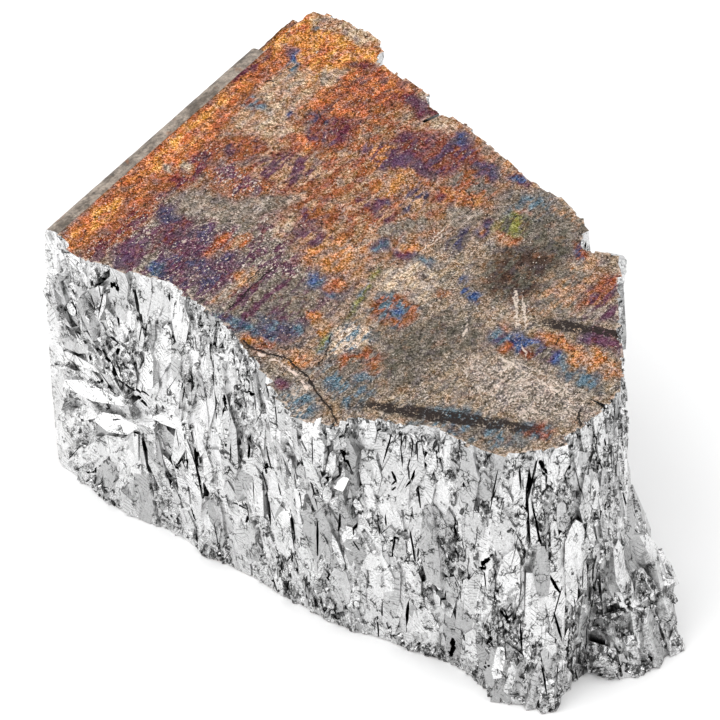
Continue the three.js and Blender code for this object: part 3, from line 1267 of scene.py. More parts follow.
@dataclass(frozen=True)
class CleavedMetal:
    """Bright cleaved bismuth: flat facets of uneven brightness, fine cracks and stepped cleavage lines.
    The uneven brightness is painted reflection, with painted highlights on the brightest plates, and
    clefts, torn spots, cracks and cleavage steps are darkened as painted shade.

    Attributes:
        bright: Colour of the clean metal, in linear light.
        roughness: Least and most roughness.
    """

    bright: float = 0.82
    roughness: Range = (0.26, 0.46)

    def _leaned(self, bench: NodeBench, hashed: Socket, calm: Socket) -> Socket:
        """The surface's direction, tipped a little in each cell.

        Args:
            bench: The material's nodes.
            hashed: The cells' random colours.
            calm: How flat the grain is.

        Returns:
            The direction.
        """
        wild = bench.range(calm, 0.0, 1.0, (0.45, 0.12))
        tip = bench.scale(bench.vector("SUBTRACT", hashed, (0.5, 0.5, 0.5)), wild)
        level = bench.add("NewGeometry", {}).outputs["Normal"]
        return bench.vector("NORMALIZE", bench.vector("ADD", level, tip))

    def _cleavage_step_shade(self, bench: NodeBench, spot: Socket, hashed: Socket, torn: Socket) -> Socket:
        """Fine parallel steps across some of the cells, whose painted shade darkens the colour.

        Args:
            bench: The material's nodes.
            spot: Millimetres on the piece.
            hashed: The cells' random colours.
            torn: How torn the break is.

        Returns:
            1 on a step and 0 between steps.
        """
        way = bench.vector("NORMALIZE", bench.vector("SUBTRACT", hashed, (0.5, 0.5, 0.5)))
        along = bench.add("VectorMath", {0: spot, 1: way}, operation="DOT_PRODUCT").outputs["Value"]
        along = bench.plus(bench.times(along, 2.3), bench.times(torn, 1.5))
        step = bench.away(bench.math("FRACT", along), 0.5)
        chosen = bench.range(bench.channel(hashed, 1), 0.5, 0.55)
        broken = bench.range(bench.cloud(spot, 1.7, 2.0), 0.4, 0.48)
        return bench.times(bench.range(step, 0.36, 0.44), chosen, broken)

    def _crack_shade(self, bench: NodeBench, spot: Socket, tall: float, scale: float, width: float) -> Socket:
        """Fine broken lines round cells of one size, painted as shade in the colour.

        Args:
            bench: The material's nodes.
            spot: Millimetres on the piece.
            tall: The cells' width as a share of their height.
            scale: Cells to a millimetre.
            width: The lines' width.

        Returns:
            0 in a crack and 1 outside it.
        """
        cells = bench.stretch(bench.drift(spot, 1.1, 0.6), (1, 1, tall))
        inputs = {"Vector": cells, "Scale": scale}
        seam = bench.add("TexVoronoi", inputs, feature="DISTANCE_TO_EDGE").outputs[0]
        whole = bench.range(bench.cloud(spot, 0.55, 3.0), 0.4, 0.48)
        return bench.math("MAXIMUM", bench.range(seam, width * 0.3, width), whole)

    def material(self) -> bpy.types.Material:
        """Builds the material.

        Returns:
            The material.
        """
        bench = NodeBench("cleaved_bismuth")
        spot = bench.millimetres()
        tone, calm, openness = (bench.attribute(name) for name in ("tone", "calm", "open"))
        facing = bench.add("NewGeometry", {}).outputs["True Normal"]
        facet = bench.vector("FLOOR", bench.scale(facing, 5.0))
        chance = bench.add("TexWhiteNoise", {"Vector": facet, "W": tone}, noise_dimensions="4D").outputs[0]
        hashed = bench.cells(bench.stretch(bench.drift(spot, 0.9, 1.3), (1, 1, 0.45)), 0.8)
        shade = bench.channel(hashed, 0)
        across, _, up = bench.add("SeparateXYZ", {0: spot}).outputs
        torn = bench.plus(
            bench.cloud(bench.stretch(spot, (1, 1, 0.6)), 0.16, 2.0),
            bench.range(across, 5, 30, (0.0, 0.12)),
            bench.range(across, -43, -36, (0.14, 0.0)),
            bench.range(up, 0, 9, (0.12, 0.0)),
            bench.range(calm, 0.4, 1.0, (0.0, -0.12)),
        )
        streaks = bench.cloud(bench.stretch(spot, (2.4, 2.4, 0.8)), 1.0, 5.0, 0.72)
        grit = bench.cloud(spot, 3.6, 3.0, 0.65)
        fine_speckle = bench.cloud(bench.stretch(spot, (1, 1, 0.7)), 8.0, 1.0)
        # rags is relief and also painted shade: its low spots darken the colour as shaded torn pits.
        rags = bench.cloud(bench.stretch(bench.drift(spot, 0.7, 1.0), (1.5, 1.5, 0.8)), 1.0, 5.0, 0.7)
        rags = bench.plus(rags, bench.range(torn, 0.42, 0.66, (0.12, -0.1)))
        # Painted reflection: each facet (chance) and each cell (shade) gets a random brightness in the
        # colour, standing in for the light that it mirrors.
        low = bench.range(calm, 0.0, 1.0, (0.84, 0.56))
        gain = bench.times(bench.math("SUBTRACT", 1.0, low), bench.range(chance, 0.0, 0.7))
        # Streaks, grit and a fine speckle vary the metal's colour; rags adds the painted shade of torn pits.
        texture_and_torn_shade = bench.times(
            bench.range(streaks, 0.3, 0.6, (0.76, 1.04)),
            bench.range(grit, 0.3, 0.6, (0.62, 1.1)),
            bench.range(fine_speckle, 0.34, 0.6, (0.66, 1.12)),
            bench.range(rags, 0.37, 0.41, (0.25, 1.0)),
        )
        level = bench.times(
            bench.plus(low, gain),
            self.bright,
            bench.math("POWER", texture_and_torn_shade, bench.range(calm, 0.2, 1.0, (1.4, 0.42))),
            # Painted highlight: plates with a tone above 1 are brightened in the colour, up to 1.3 times, as
            # if they mirrored a softbox.
            bench.range(tone, 1.0, 1.5, (1.0, 1.3)),
            bench.range(across, 0, 25, (1.04, 0.94)),
            bench.range(shade, 0.0, 1.0, (0.88, 1.04)),
            # Painted shade: faces that lie shut in clefts are darkened in the colour, down to 0.08.
            bench.range(openness, 0.06, 0.42, (0.08, 1.0)),
            # Painted shade: cleavage steps are darkened in the colour.
            bench.range(self._cleavage_step_shade(bench, spot, hashed, torn), 0.0, 1.0, (1.0, 0.5)),
            # Painted shade: fine cracks at three sizes are darkened in the colour.
            bench.range(self._crack_shade(bench, spot, 0.35, 0.5, 0.042), 0.0, 1.0, (0.14, 1.0)),
            bench.range(self._crack_shade(bench, spot, 1.5, 0.8, 0.06), 0.0, 1.0, (0.2, 1.0)),
            bench.range(self._crack_shade(bench, spot, 0.6, 1.7, 0.08), 0.0, 1.0, (0.5, 1.0)),
        )
        height = bench.plus(streaks, bench.times(rags, 0.6))
        normal = bench.bump(height, 0.05 * MM, 0.7, self._leaned(bench, hashed, calm))
        return bench.finish(Base_Color=bench.grey(level), Metallic=1.0, Normal=normal,
                            Roughness=bench.range(shade, 0.0, 1.0, self.roughness))


class Hue(Enum):
    """The tarnish's colours, as display values from 0 to 255."""

    GOLD = (234, 148, 22)
    AMBER = (206, 104, 4)
    CLAY = (202, 128, 64)
    RUST = (162, 86, 40)
    BRICK = (140, 74, 54)
    MAROON = (104, 44, 62)
    PLUM = (104, 64, 84)
    VIOLET = (98, 68, 96)
    INDIGO = (76, 72, 100)
    BLUE = (64, 92, 142)
    STEEL = (98, 124, 138)
    MOSS = (140, 138, 74)
    SAND = (184, 142, 112)
    BEIGE = (208, 180, 152)
    ASH = (172, 156, 142)
    STONE = (132, 120, 108)
    LOAM = (158, 136, 114)
    OLIVE = (98, 92, 80)
    UMBER = (78, 56, 46)

    @property
    def light(self) -> np.ndarray:
        """The colour in linear light."""
        return np.array(linear(*self.value)[:3])


(GOLD, AMBER, CLAY, RUST, BRICK, MAROON, PLUM, VIOLET, INDIGO, BLUE, STEEL, MOSS, SAND, BEIGE, ASH, STONE,
 LOAM, OLIVE, UMBER) = Hue


@dataclass(frozen=True)
class Patch:
    """One patch of the tarnish, in millimetres on the skin.

    Attributes:
        x: Its middle, away from the mould wall.
        y: Its middle, along the mould wall.
        across: Its half width.
        along: Its half length.
        main: Its colour.
        streak: The colour of the streaks in it.
        turn: Its turn in degrees.
        fleck: How thickly bare flecks lie in it.
        soft: How wide its edge is, as a share of its radius.
    """

    x: float
    y: float
    across: float
    along: float
    main: Hue
    streak: Hue
    turn: float = 0.0
    fleck: float = 0.3
    soft: float = 0.35


PATCHES = [Patch(*row) for row in (
    # Ground colours.
    (-20, 6, 22, 20, SAND, RUST), (20, -10, 24, 34, STONE, LOAM, 0, 0.6),
    (-21, -18, 17, 13, PLUM, STONE, 0, 0.7), (-34, 27, 10, 8, AMBER, GOLD),
    # The apex.
    (-34, 31.5, 6.5, 2, SAND, BEIGE), (-33, 26.2, 3.8, 1.9, GOLD, AMBER, 0, 0),
    (-30, 22.3, 1.7, 1.8, ASH, BEIGE), (-37.2, 23.2, 1.1, 1.9, STEEL, BLUE, 25, 0, 0.2),
    (-35.3, 21.2, 0.6, 1.3, STEEL, PLUM, 25, 0, 0.2), (-37.8, 29.2, 0.7, 0.9, STEEL, ASH),
    (-23.5, 23.5, 6, 3.4, AMBER, BRICK), (-28.4, 26, 2.2, 0.9, MAROON, BRICK, 15),
    (-17.4, 23, 3.6, 1.7, MAROON, PLUM, -15), (-17.5, 25.2, 1.7, 1.1, SAND, BEIGE),
    # Beige and brick left of the middle.
    (-33.6, 15, 4.4, 5.4, BEIGE, SAND), (-36.2, 19.8, 1.8, 2, SAND, STEEL),
    (-25.2, 17.6, 4.6, 4.2, BRICK, AMBER), (-22.6, 13.6, 2.3, 3, MAROON, BRICK),
    (-26.3, 13.1, 2.2, 1.5, INDIGO, BRICK, -30, 0, 0.3), (-30.2, 13, 0.6, 0.8, STEEL, BLUE),
    (-33, 11.3, 0.8, 0.9, STEEL, OLIVE), (-36, 11.6, 2.4, 1.4, BRICK, STEEL),
    (-31.4, 8.6, 4.6, 3.2, SAND, BEIGE), (-26, 8.3, 2.8, 1.5, AMBER, BRICK),
    (-24, 10.6, 2.4, 1.2, VIOLET, BRICK), (-31.5, 3.4, 2.6, 4, PLUM, RUST), (-24, 3, 4, 3.4, SAND, PLUM),
    # Purple along the back edge.
    (-12.6, 21.3, 2.5, 1.4, SAND, BEIGE), (-13.5, 16, 3.5, 3.2, BRICK, PLUM),
    (-15.5, 12.6, 2.8, 2.2, VIOLET, CLAY), (-8, 17, 3.4, 4.4, VIOLET, BRICK),
    (-9.2, 20.4, 0.8, 1.6, INDIGO, BLUE, 25), (-11.6, 12.8, 3.2, 1.6, PLUM, VIOLET),
    (-2.6, 16.8, 2.4, 1.4, INDIGO, VIOLET, -10), (1.9, 17.3, 1.8, 0.9, BLUE, PLUM, -10, 0, 0.3),
    (0, 19.2, 1.6, 0.7, SAND, CLAY, -20), (-2.6, 13.6, 3.8, 2.2, RUST, STONE),
    (-2.5, 10.2, 2.6, 2.4, CLAY, RUST, 15), (-4.6, 9, 1, 0.9, MAROON, BRICK),
    (-0.4, 7.6, 1.8, 2, ASH, STONE), (-7.6, 7.6, 1.5, 3.6, INDIGO, SAND, 15),
    (-11.2, 8.1, 2.2, 3.6, SAND, CLAY, 0, 0, 0.12), (-10.4, 4.2, 1.3, 0.8, INDIGO, VIOLET, 0, 0, 0.2),
    (-11, 2.6, 4, 1.2, SAND, PLUM), (-6, 1.6, 1.7, 2.9, ASH, STONE, -45, 0.2, 0.15),
    (3.2, 7.2, 0.9, 1.6, VIOLET, INDIGO, 25), (3.2, 6.9, 0.35, 0.8, CLAY, SAND, 25),
    (1.6, 3.5, 1, 3, INDIGO, STONE), (-2, -0.9, 1.4, 0.9, CLAY, SAND),
    (-2.3, -2.5, 1.5, 0.8, VIOLET, MAROON), (-5.8, -2.8, 1.2, 2, INDIGO, STEEL),
    (0.8, -2.6, 1.4, 0.8, INDIGO, STEEL),
    # Olive and stone right of the middle.
    (7, 12, 5, 4, STONE, STEEL), (12, 10.4, 4.2, 5.4, OLIVE, STONE, 0, 0.1),
    (11.5, 2.4, 4.8, 5.6, OLIVE, UMBER, 25, 0.1), (6, 9.6, 2.2, 2.6, OLIVE, MOSS, 0, 0.1),
    (6.6, 6.8, 1.8, 0.9, RUST, SAND), (5.4, 12.2, 1.4, 0.5, RUST, SAND, 30),
    (10.6, 15.2, 2.4, 0.8, SAND, STONE), (18, 4, 3, 6.4, SAND, STONE), (17.6, 9.3, 2.2, 1.6, ASH, SAND),
    (15.5, 9.8, 1.4, 0.8, INDIGO, RUST), (21.6, 5, 2, 4, PLUM, RUST), (23.6, 1.4, 2.6, 1.8, PLUM, ASH),
    (26.5, -3, 2.6, 1.6, VIOLET, PLUM), (27.4, -7, 3.6, 1.7, CLAY, SAND), (22.6, -6, 3, 1.2, CLAY, RUST),
    (28, -10, 3, 2, STONE, STEEL), (24, -15.5, 9, 3.6, ASH, STONE, 0, 0.9),
    (20.5, -25, 7, 3, STEEL, STONE, 10), (28.2, -21.2, 2, 1.4, STEEL, BRICK),
    # Blue with rust spots.
    (15.2, -9.4, 1.6, 2.2, STEEL, INDIGO), (21.4, -8.8, 2, 1.8, VIOLET, STONE),
    (18.8, -8.2, 2.6, 2.4, BLUE, STONE, -30), (24, -9, 1.4, 0.8, BLUE, STEEL, -20),
    (17.5, -10, 0.95, 1.4, RUST, RUST, 0, 0, 0.15), (20.4, -10, 0.8, 0.9, RUST, BRICK),
    (14.8, -6.9, 0.9, 0.8, RUST, SAND), (8, -4, 2.5, 1.0, BLUE, STONE, -30, 0, 0.3),
    (5.8, -6, 1.1, 0.8, SAND, RUST), (1, -6.4, 3.6, 3.4, BEIGE, ASH, -15, 0.2, 0.12),
    # Mottle of the lower middle.
    (8.5, -18, 3.4, 7, STONE, OLIVE), (10.5, -13, 3.6, 4, OLIVE, STONE), (2.6, -12.2, 3, 2.4, STEEL, RUST),
    (2.7, -12.8, 1.2, 0.8, BLUE, STEEL), (0.6, -19, 2.2, 3.2, STEEL, BEIGE, 0, 0.8),
    (4, -22.5, 2.4, 2.4, RUST, STONE), (5, -27, 4, 2.6, STEEL, STONE), (-10, -7.4, 4.6, 3.6, SAND, CLAY),
    (-13.6, -6.2, 2.2, 2, PLUM, SAND), (-16, -3.4, 1.6, 1.5, PLUM, RUST), (-11, -19, 4.6, 4.6, PLUM, STONE),
    (-12, -24.8, 3.6, 2, INDIGO, STEEL), (-6.8, -23.6, 2.6, 2, STEEL, INDIGO),
    (-8.4, -26, 1.9, 0.8, RUST, CLAY), (-9.3, -13, 1.1, 1.2, STEEL, BLUE),
    (-6, -13.6, 1.2, 0.8, STEEL, INDIGO), (-3.8, -10, 1, 1.7, CLAY, SAND), (-6.5, -12, 1.2, 1, CLAY, RUST),
    (-4.8, -18.6, 2.3, 1.2, CLAY, SAND, -10), (-2.6, -20.4, 0.9, 0.9, CLAY, SAND),
    (-1.8, -25.5, 1.6, 1.5, CLAY, SAND), (-3.2, -7.4, 0.45, 1.4, MOSS, MOSS, 10),
    (-2.3, -13, 0.45, 4, MOSS, STEEL, 8), (-1.3, -21.6, 0.5, 2.6, MOSS, STEEL, 12),
    # Blue, maroon and beige streaks of the lower left.
    (-24.4, -18, 3.2, 5.6, INDIGO, PLUM, 0, 0.6), (-26.6, -22, 1.4, 1.2, BLUE, STEEL),
    (-19, -18.6, 2.2, 4.4, INDIGO, PLUM, 0, 0.6), (-28.6, -15.4, 1.5, 4, BRICK, PLUM),
    (-30.8, -12.9, 1.7, 1.2, INDIGO, PLUM), (-22.8, -14, 0.7, 2.6, AMBER, BRICK),
    (-20.8, -12.4, 0.9, 2.4, SAND, AMBER), (-16.2, -17.4, 1.4, 2, CLAY, SAND),
    (-16.6, -21.4, 0.9, 2.6, SAND, ASH), (-17.8, -7.4, 0.9, 2.3, SAND, BEIGE),
    (-34.6, -18, 1.8, 8, MAROON, RUST, 0, 0.6), (-31, -22, 1.8, 3, PLUM, VIOLET),
    (-34.4, -4, 1.6, 7, MAROON, RUST, 0, 0.5), (-28, -2.6, 4, 2.6, PLUM, RUST, 0, 0.8),
    (-27.6, -9, 5.6, 2.5, ASH, STONE, 6), (-22.4, -4.6, 1.9, 3.6, ASH, STONE, -42),
    # The orange band along the mould wall.
    (-38.3, -1, 2.5, 27, AMBER, RUST, 0, 0.15, 0.2), (-37.3, -12, 2.3, 13, AMBER, RUST, 0, 0.15, 0.25),
    (-39.2, 5, 0.8, 14, GOLD, AMBER, 0, 0, 0.3), (-37.8, -2, 1.4, 6, GOLD, AMBER, 0, 0, 0.4),
    (-38, -18, 1.2, 5, GOLD, AMBER, 0, 0, 0.4), (-40.2, 18, 0.9, 5, RUST, MAROON, 0, 0, 0.3),
    (-35.2, -3.6, 1, 0.7, ASH, BEIGE, 20, 0, 0.15), (-37, -5.3, 1.3, 0.6, ASH, BEIGE, -20, 0, 0.2),
    # The lobe in front of the long crack.
    (0, -32, 9, 3.2, ASH, STONE, -25, 0.4), (-1.2, -30.8, 1.4, 1.2, STEEL, PLUM),
    (2.4, -33, 2.4, 2, ASH, STEEL), (-8, -29, 2.6, 1.2, OLIVE, UMBER, -15),
    (-11.4, -27.6, 1.2, 0.6, RUST, CLAY, -15),
)]


class Mark(Enum):
    """What a stroke on the skin is: its display colour and its strength."""

    SCRATCH = ((218, 202, 188), 0.85)
    CRUMB = ((226, 205, 192), 0.85)
    # Painted shade: the near-black of a crack stands in for the shadow in its crevice.
    CRACK = ((26, 18, 14), 0.95)
    PAINT = ((38, 30, 27), 0.97)


SCRATCH, CRUMB, CRACK, PAINT = Mark

@dataclass(frozen=True)
class Stroke:
    """A thin mark on the skin, in millimetres.

    Attributes:
        mark: What it is.
        path: Its points.
        width: Its width.
    """

    mark: Mark
    path: tuple[Point, ...]
    width: float


STROKES = (
    # The long crack that cuts the lobe off, as a line of painted shade, its crumbled edge and its side
    # branch.
    Stroke(CRACK, ((-10, -27), (-8, -27.6), (-6, -27.4), (-3.4, -26.8), (-1.4, -27.6), (0.6, -28.2),
                   (2.6, -29.6), (4.6, -30.6), (6.6, -31.6), (8, -33)), 0.3),
    Stroke(CRUMB, ((-7, -28), (-4, -27.8), (-2, -28.3), (-0.2, -28.8)), 0.6),
    Stroke(CRUMB, ((0.2, -29.0), (1.6, -30)), 0.5),
    Stroke(CRACK, ((0.4, -26.2), (0.2, -24), (-0.6, -22.2), (-1.6, -20)), 0.2),
    Stroke(CRACK, ((-14.4, -14), (-14.6, -18), (-14.3, -21.5), (-14.8, -23.6)), 0.22),
    Stroke(CRACK, ((-15.6, -14.6), (-15.5, -18.6)), 0.14),
    Stroke(CRACK, ((-27.9, 15.2), (-26.4, 14), (-25.2, 13.4)), 0.16),
    Stroke(CRACK, ((-37, 16.2), (-35.6, 17)), 0.22),
    Stroke(CRACK, ((-3.4, 12.4), (-1.6, 11.4), (-0.6, 10.4)), 0.18),
    # The loop that works loose at the right corner, drawn as painted shade.
    Stroke(CRACK, ((30.5, -14.2), (31.2, -16), (32.4, -17.3), (34, -17.8)), 0.36),
    Stroke(CRACK, ((21.9, -4.8), (22, -6.8)), 0.14),
    Stroke(CRACK, ((21.5, -7.2), (21.6, -8.6)), 0.12),
    # Scratches.
    Stroke(SCRATCH, ((12.6, -0.6), (14.6, -3.6), (16.6, -6.4)), 0.6),
    Stroke(SCRATCH, ((14, -1.2), (17.6, -6)), 0.45),
    Stroke(SCRATCH, ((17.6, -12.2), (21, -12.6), (25.6, -13.4), (26.8, -13.4)), 0.44),
    Stroke(SCRATCH, ((20, -11.8), (24.6, -12), (28.4, -13)), 0.2),
    Stroke(SCRATCH, ((11.2, -9.2), (12, -11.6)), 0.3),
    Stroke(SCRATCH, ((-1.1, 4.8), (-0.9, -1.4)), 0.2),
    Stroke(SCRATCH, ((-0.6, 4.2), (-0.6, 0)), 0.16),
    Stroke(SCRATCH, ((18.6, -8.6), (20.8, -11)), 0.26),
    # A plain painted band and a short dash, both worn.
    Stroke(PAINT, ((7.8, -28.8), (28.8, -20.4)), 2.3),
    Stroke(PAINT, ((19, -3.6), (24, -1.9)), 2.2),
    Stroke(PAINT, ((23.6, -1.7), (28, -0.6)), 1.4),
)


@dataclass(frozen=True)
class TarnishedSkin:
    """The cast top: rainbow tarnish in streaks and patches, with pits, flecks, cracks and scratches.
    Its cracks and clefts are darkened as painted shade, its fine relief gets painted light and shade,
    and fine pale specks are painted glints.

    Attributes:
        datum: Where the tarnish's own zero lies, in millimetres.
        height: Height of the skin, in millimetres.
        exposure: How much darker the surface is than its display colours, under the studio's light.
        roughness: Least and most roughness.
        metallic: How metallic the film is.
        brown: A tint of some of the film.
        mauve: Another tint of some of it.
    """

    datum: Point = (0.6, 0.43)
    height: float = 42.0
    exposure: float = 0.86
    roughness: Range = (0.4, 0.62)
    metallic: float = 0.3
    brown: Colour = linear(150, 100, 62)
    mauve: Colour = linear(92, 76, 88)

    def paint(self, bm: Mesh) -> None:
        """Stores the tarnish's two colours and its flecks on the vertices.

        Args:
            bm: The chunk's mesh.
        """
        main = bm.verts.layers.float_color.new("tarnish")
        streak = bm.verts.layers.float_color.new("streak")
        fleck = bm.verts.layers.float.new("fleck")
        top = max(vert.co.z for vert in bm.verts)
        verts = [vert for vert in bm.verts if vert.co.z > top - 4 * MM]
        spots = np.array([vert.co[:2] for vert in verts]) / MM - self.datum
        drift = np.array([
            1.2 * noise.noise_vector(Vector((x * 0.25, y * 0.17, 3)))
            + 0.7 * noise.noise_vector(Vector((x * 0.8, y * 0.5, 9)))
            + 0.45 * noise.noise_vector(Vector((x * 2.1, y * 1.4, 5)))
            for x, y in spots
        ])[:, :2] * (1.0, 1.6)
        fields = np.tile([*STONE.light, *SAND.light, 0.3], (len(spots), 1))
        for patch in PATCHES:
            turn = math.radians(patch.turn)
            ragged = min(1.0, 0.35 + min(patch.across, patch.along) / 3)
            away = spots + drift * ragged - (patch.x, patch.y)
            across = (away[:, 0] * math.cos(turn) + away[:, 1] * math.sin(turn)) / patch.across
            along = (away[:, 1] * math.cos(turn) - away[:, 0] * math.sin(turn)) / patch.along
            share = np.clip((1 + patch.soft - np.hypot(across, along)) / (2 * patch.soft), 0, 1)
            share = (share * share * (3 - 2 * share))[:, None]
            fields += ([*patch.main.light, *patch.streak.light, patch.fleck] - fields) * share
        for vert, values in zip(verts, fields.tolist()):
            vert[main] = (*values[0:3], 1)
            vert[streak] = (*values[3:6], 1)
            vert[fleck] = values[6]

    def _stroke(self, bench: NodeBench, spot: Socket, ends: tuple[Point, Point], width: float) -> Socket:
        """How far a place lies inside one straight part of a stroke.

        Args:
            bench: The material's nodes.
            spot: Millimetres on the skin.
            ends: Where the part starts and ends.
            width: Its width.

        Returns:
            0 outside it to 1 inside it.
        """
        start, end = ends
        middle = ((start[0] + end[0]) / 2, (start[1] + end[1]) / 2, 0)
        turn = math.atan2(end[1] - start[1], end[0] - start[0])
        length = math.dist(start, end) / 2 + width * 0.4
        local = bench.add("Mapping", {
            "Vector": spot, "Location": middle, "Rotation": (0, 0, turn), "Scale": (length, width / 2, 1),
        }, vector_type="TEXTURE").outputs[0]
        away = bench.add("VectorMath", {0: local}, operation="LENGTH").outputs["Value"]
        return bench.range(away, 1.15, 0.75)

    def _marks(self, bench: NodeBench, spot: Socket, mark: Mark) -> object:
        """How far a place lies inside any stroke of one kind.

        Args:
            bench: The material's nodes.
            spot: Millimetres on the skin.
            mark: The kind of stroke.

        Returns:
            0 outside them to 1 inside one.
        """
        cover: object = 0.0
        for stroke in STROKES:
            if stroke.mark is mark:
                for ends in zip(stroke.path, stroke.path[1:]):
                    cover = bench.math("MAXIMUM", cover, self._stroke(bench, spot, ends, stroke.width))
        return cover

    def _mottled(self, bench: NodeBench, flat: Socket, clumps: Socket, grain: Socket) -> Socket:
        """The tarnish's colour, before flecks and strokes, with painted light and shade of its fine relief.

        Args:
            bench: The material's nodes.
            flat: Millimetres on the skin.
            clumps: Soft noise of about a millimetre.
            grain: Soft noise of about a quarter of a millimetre.

        Returns:
            The colour.
        """
        main = bench.attribute("tarnish", "Color")
        streak = bench.attribute("streak", "Color")
        runs = bench.cloud(bench.stretch(flat, (1.0, 0.34, 1)), 0.8, 3.0, 0.6)
        colour = bench.mix(bench.range(runs, 0.42, 0.56), main, streak)
        tints = bench.cloud(bench.stretch(bench.drift(flat, 0.5, 1.5), (1, 0.7, 1)), 0.75, 3.0, 0.6, "Color")
        tint = bench.add("SeparateColor", {0: tints}).outputs
        colour = bench.mix(bench.range(tint[0], 0.54, 0.64, (0.0, 0.3)), colour, self.brown)
        colour = bench.mix(bench.range(tint[2], 0.54, 0.64, (0.0, 0.4)), colour, self.mauve)
        colour = bench.add("HueSaturation", {
            "Hue": bench.range(tint[1], 0.35, 0.65, (0.494, 0.51)),
            "Saturation": bench.range(tint[2], 0.35, 0.65, (1.08, 0.82)),
            "Value": bench.range(clumps, 0.3, 0.7, (0.68 * self.exposure, 1.22 * self.exposure)),
            "Color": colour,
        }).outputs[0]
        # Partly painted light and shade: ridge lines, holes and fine speckle darken or lighten the film as
        # its fine relief would under light, besides its own dark marks.
        ridge = bench.away(bench.cloud(bench.drift(flat, 1.1, 0.8), 1.5, 4.0, 0.65), 0.5)
        holes = bench.cloud(bench.stretch(bench.drift(flat, 1.3, 0.7), (1, 0.6, 1)), 2.0, 4.0, 0.72)
        sand = bench.range(bench.cloud(flat, 7.5, 2.0, 0.7), 0.34, 0.66, (0.45, 1.6))
        dark = bench.times(
            bench.range(ridge, 0.0, 0.026, (0.25, 1.0)),
            bench.range(grain, 0.39, 0.59, (0.34, 1.55)),
            bench.range(holes, 0.38, 0.42, (0.2, 1.0)),
            bench.math("POWER", sand, bench.range(bench.attribute("fleck"), 0.3, 0.9, (0.9, 1.7))),
        )
        return bench.add("HueSaturation", {
            "Saturation": bench.range(dark, 0.3, 1.5, (1.4, 0.8)), "Color": bench.darken(colour, dark),
        }).outputs[0]

    def material(self) -> bpy.types.Material:
        """Builds the material.

        Returns:
            The material.
        """
        bench = NodeBench("tarnished_skin")
        flat = bench.vector("SUBTRACT", bench.millimetres(), (*self.datum, self.height))
        clumps = bench.cloud(flat, 1.0, 4.0, 0.65)
        grain = bench.cloud(flat, 3.6, 4.0, 0.7)
        thick = bench.attribute("fleck")
        colour = self._mottled(bench, flat, clumps, grain)
        fleck = bench.cloud(bench.stretch(flat, (1.0, 0.8, 1)), 1.9, 4.0, 0.68)
        fleck = bench.plus(fleck, bench.range(thick, 0.0, 1.0, (-0.07, 0.06)))
        colour = bench.mix(bench.range(fleck, 0.62, 0.65, (0.0, 0.8)), colour, linear(206, 188, 174))
        # Painted highlight: fine pale glints, thicker where bare flecks lie thick.
        painted_glint = bench.cloud(bench.stretch(flat, (1.0, 0.6, 1), 0.5), 4.2, 2.0)
        painted_glint = bench.plus(painted_glint, bench.range(thick, 0.2, 1.0, (-0.05, 0.03)))
        colour = bench.mix(bench.range(painted_glint, 0.64, 0.67, (0.0, 0.85)), colour, linear(226, 214, 204))
        path = bench.vector("MULTIPLY", bench.drift(flat, 1.2, 1.1), (1, 1, 0))
        worn = {
            PAINT: bench.range(bench.plus(grain, bench.times(clumps, 0.4)), 0.81, 0.78),
            SCRATCH: bench.range(grain, 0.4, 0.5),
            CRUMB: bench.range(clumps, 0.46, 0.54),
            CRACK: 1.0,
        }
        cover: object = 0.0
        # Paint, scratches and crumbs are the skin's own marks; the crack lines are painted shade.
        for mark, wear in worn.items():
            cover = bench.times(self._marks(bench, path, mark), wear)
            tint, strength = mark.value
            colour = bench.mix(bench.times(cover, strength), colour, linear(*tint))
        edge = bench.plus(bench.attribute("edge"), bench.range(clumps, 0.35, 0.65, (0.6, -0.1)))
        colour = bench.mix(bench.range(edge, 0.34, 0.14, (0.0, 0.6)), colour, linear(206, 186, 170))
        rim = bench.plus(bench.attribute("rim"), bench.range(clumps, 0.3, 0.7, (0.2, -0.2)))
        colour = bench.mix(bench.range(rim, 0.42, 0.12, (0.0, 0.75)), colour, linear(66, 46, 34))
        # Painted shade: faces that lie shut in clefts and cracks are darkened towards near black.
        painted_cleft_shade = bench.range(bench.attribute("open"), 0.45, 0.1, (0.0, 0.85))
        colour = bench.mix(painted_cleft_shade, colour, linear(24, 18, 15))
        height = bench.plus(clumps, bench.times(grain, 0.6))
        height = bench.math("SUBTRACT", height, bench.times(cover, 1.5))
        normal = bench.bump(height, 0.22 * MM, 0.8)
        return bench.finish(Base_Color=colour, Metallic=self.metallic, Normal=normal, Specular_IOR_Level=0.15,
                            Roughness=bench.range(grain, 0.3, 0.7, self.roughness))


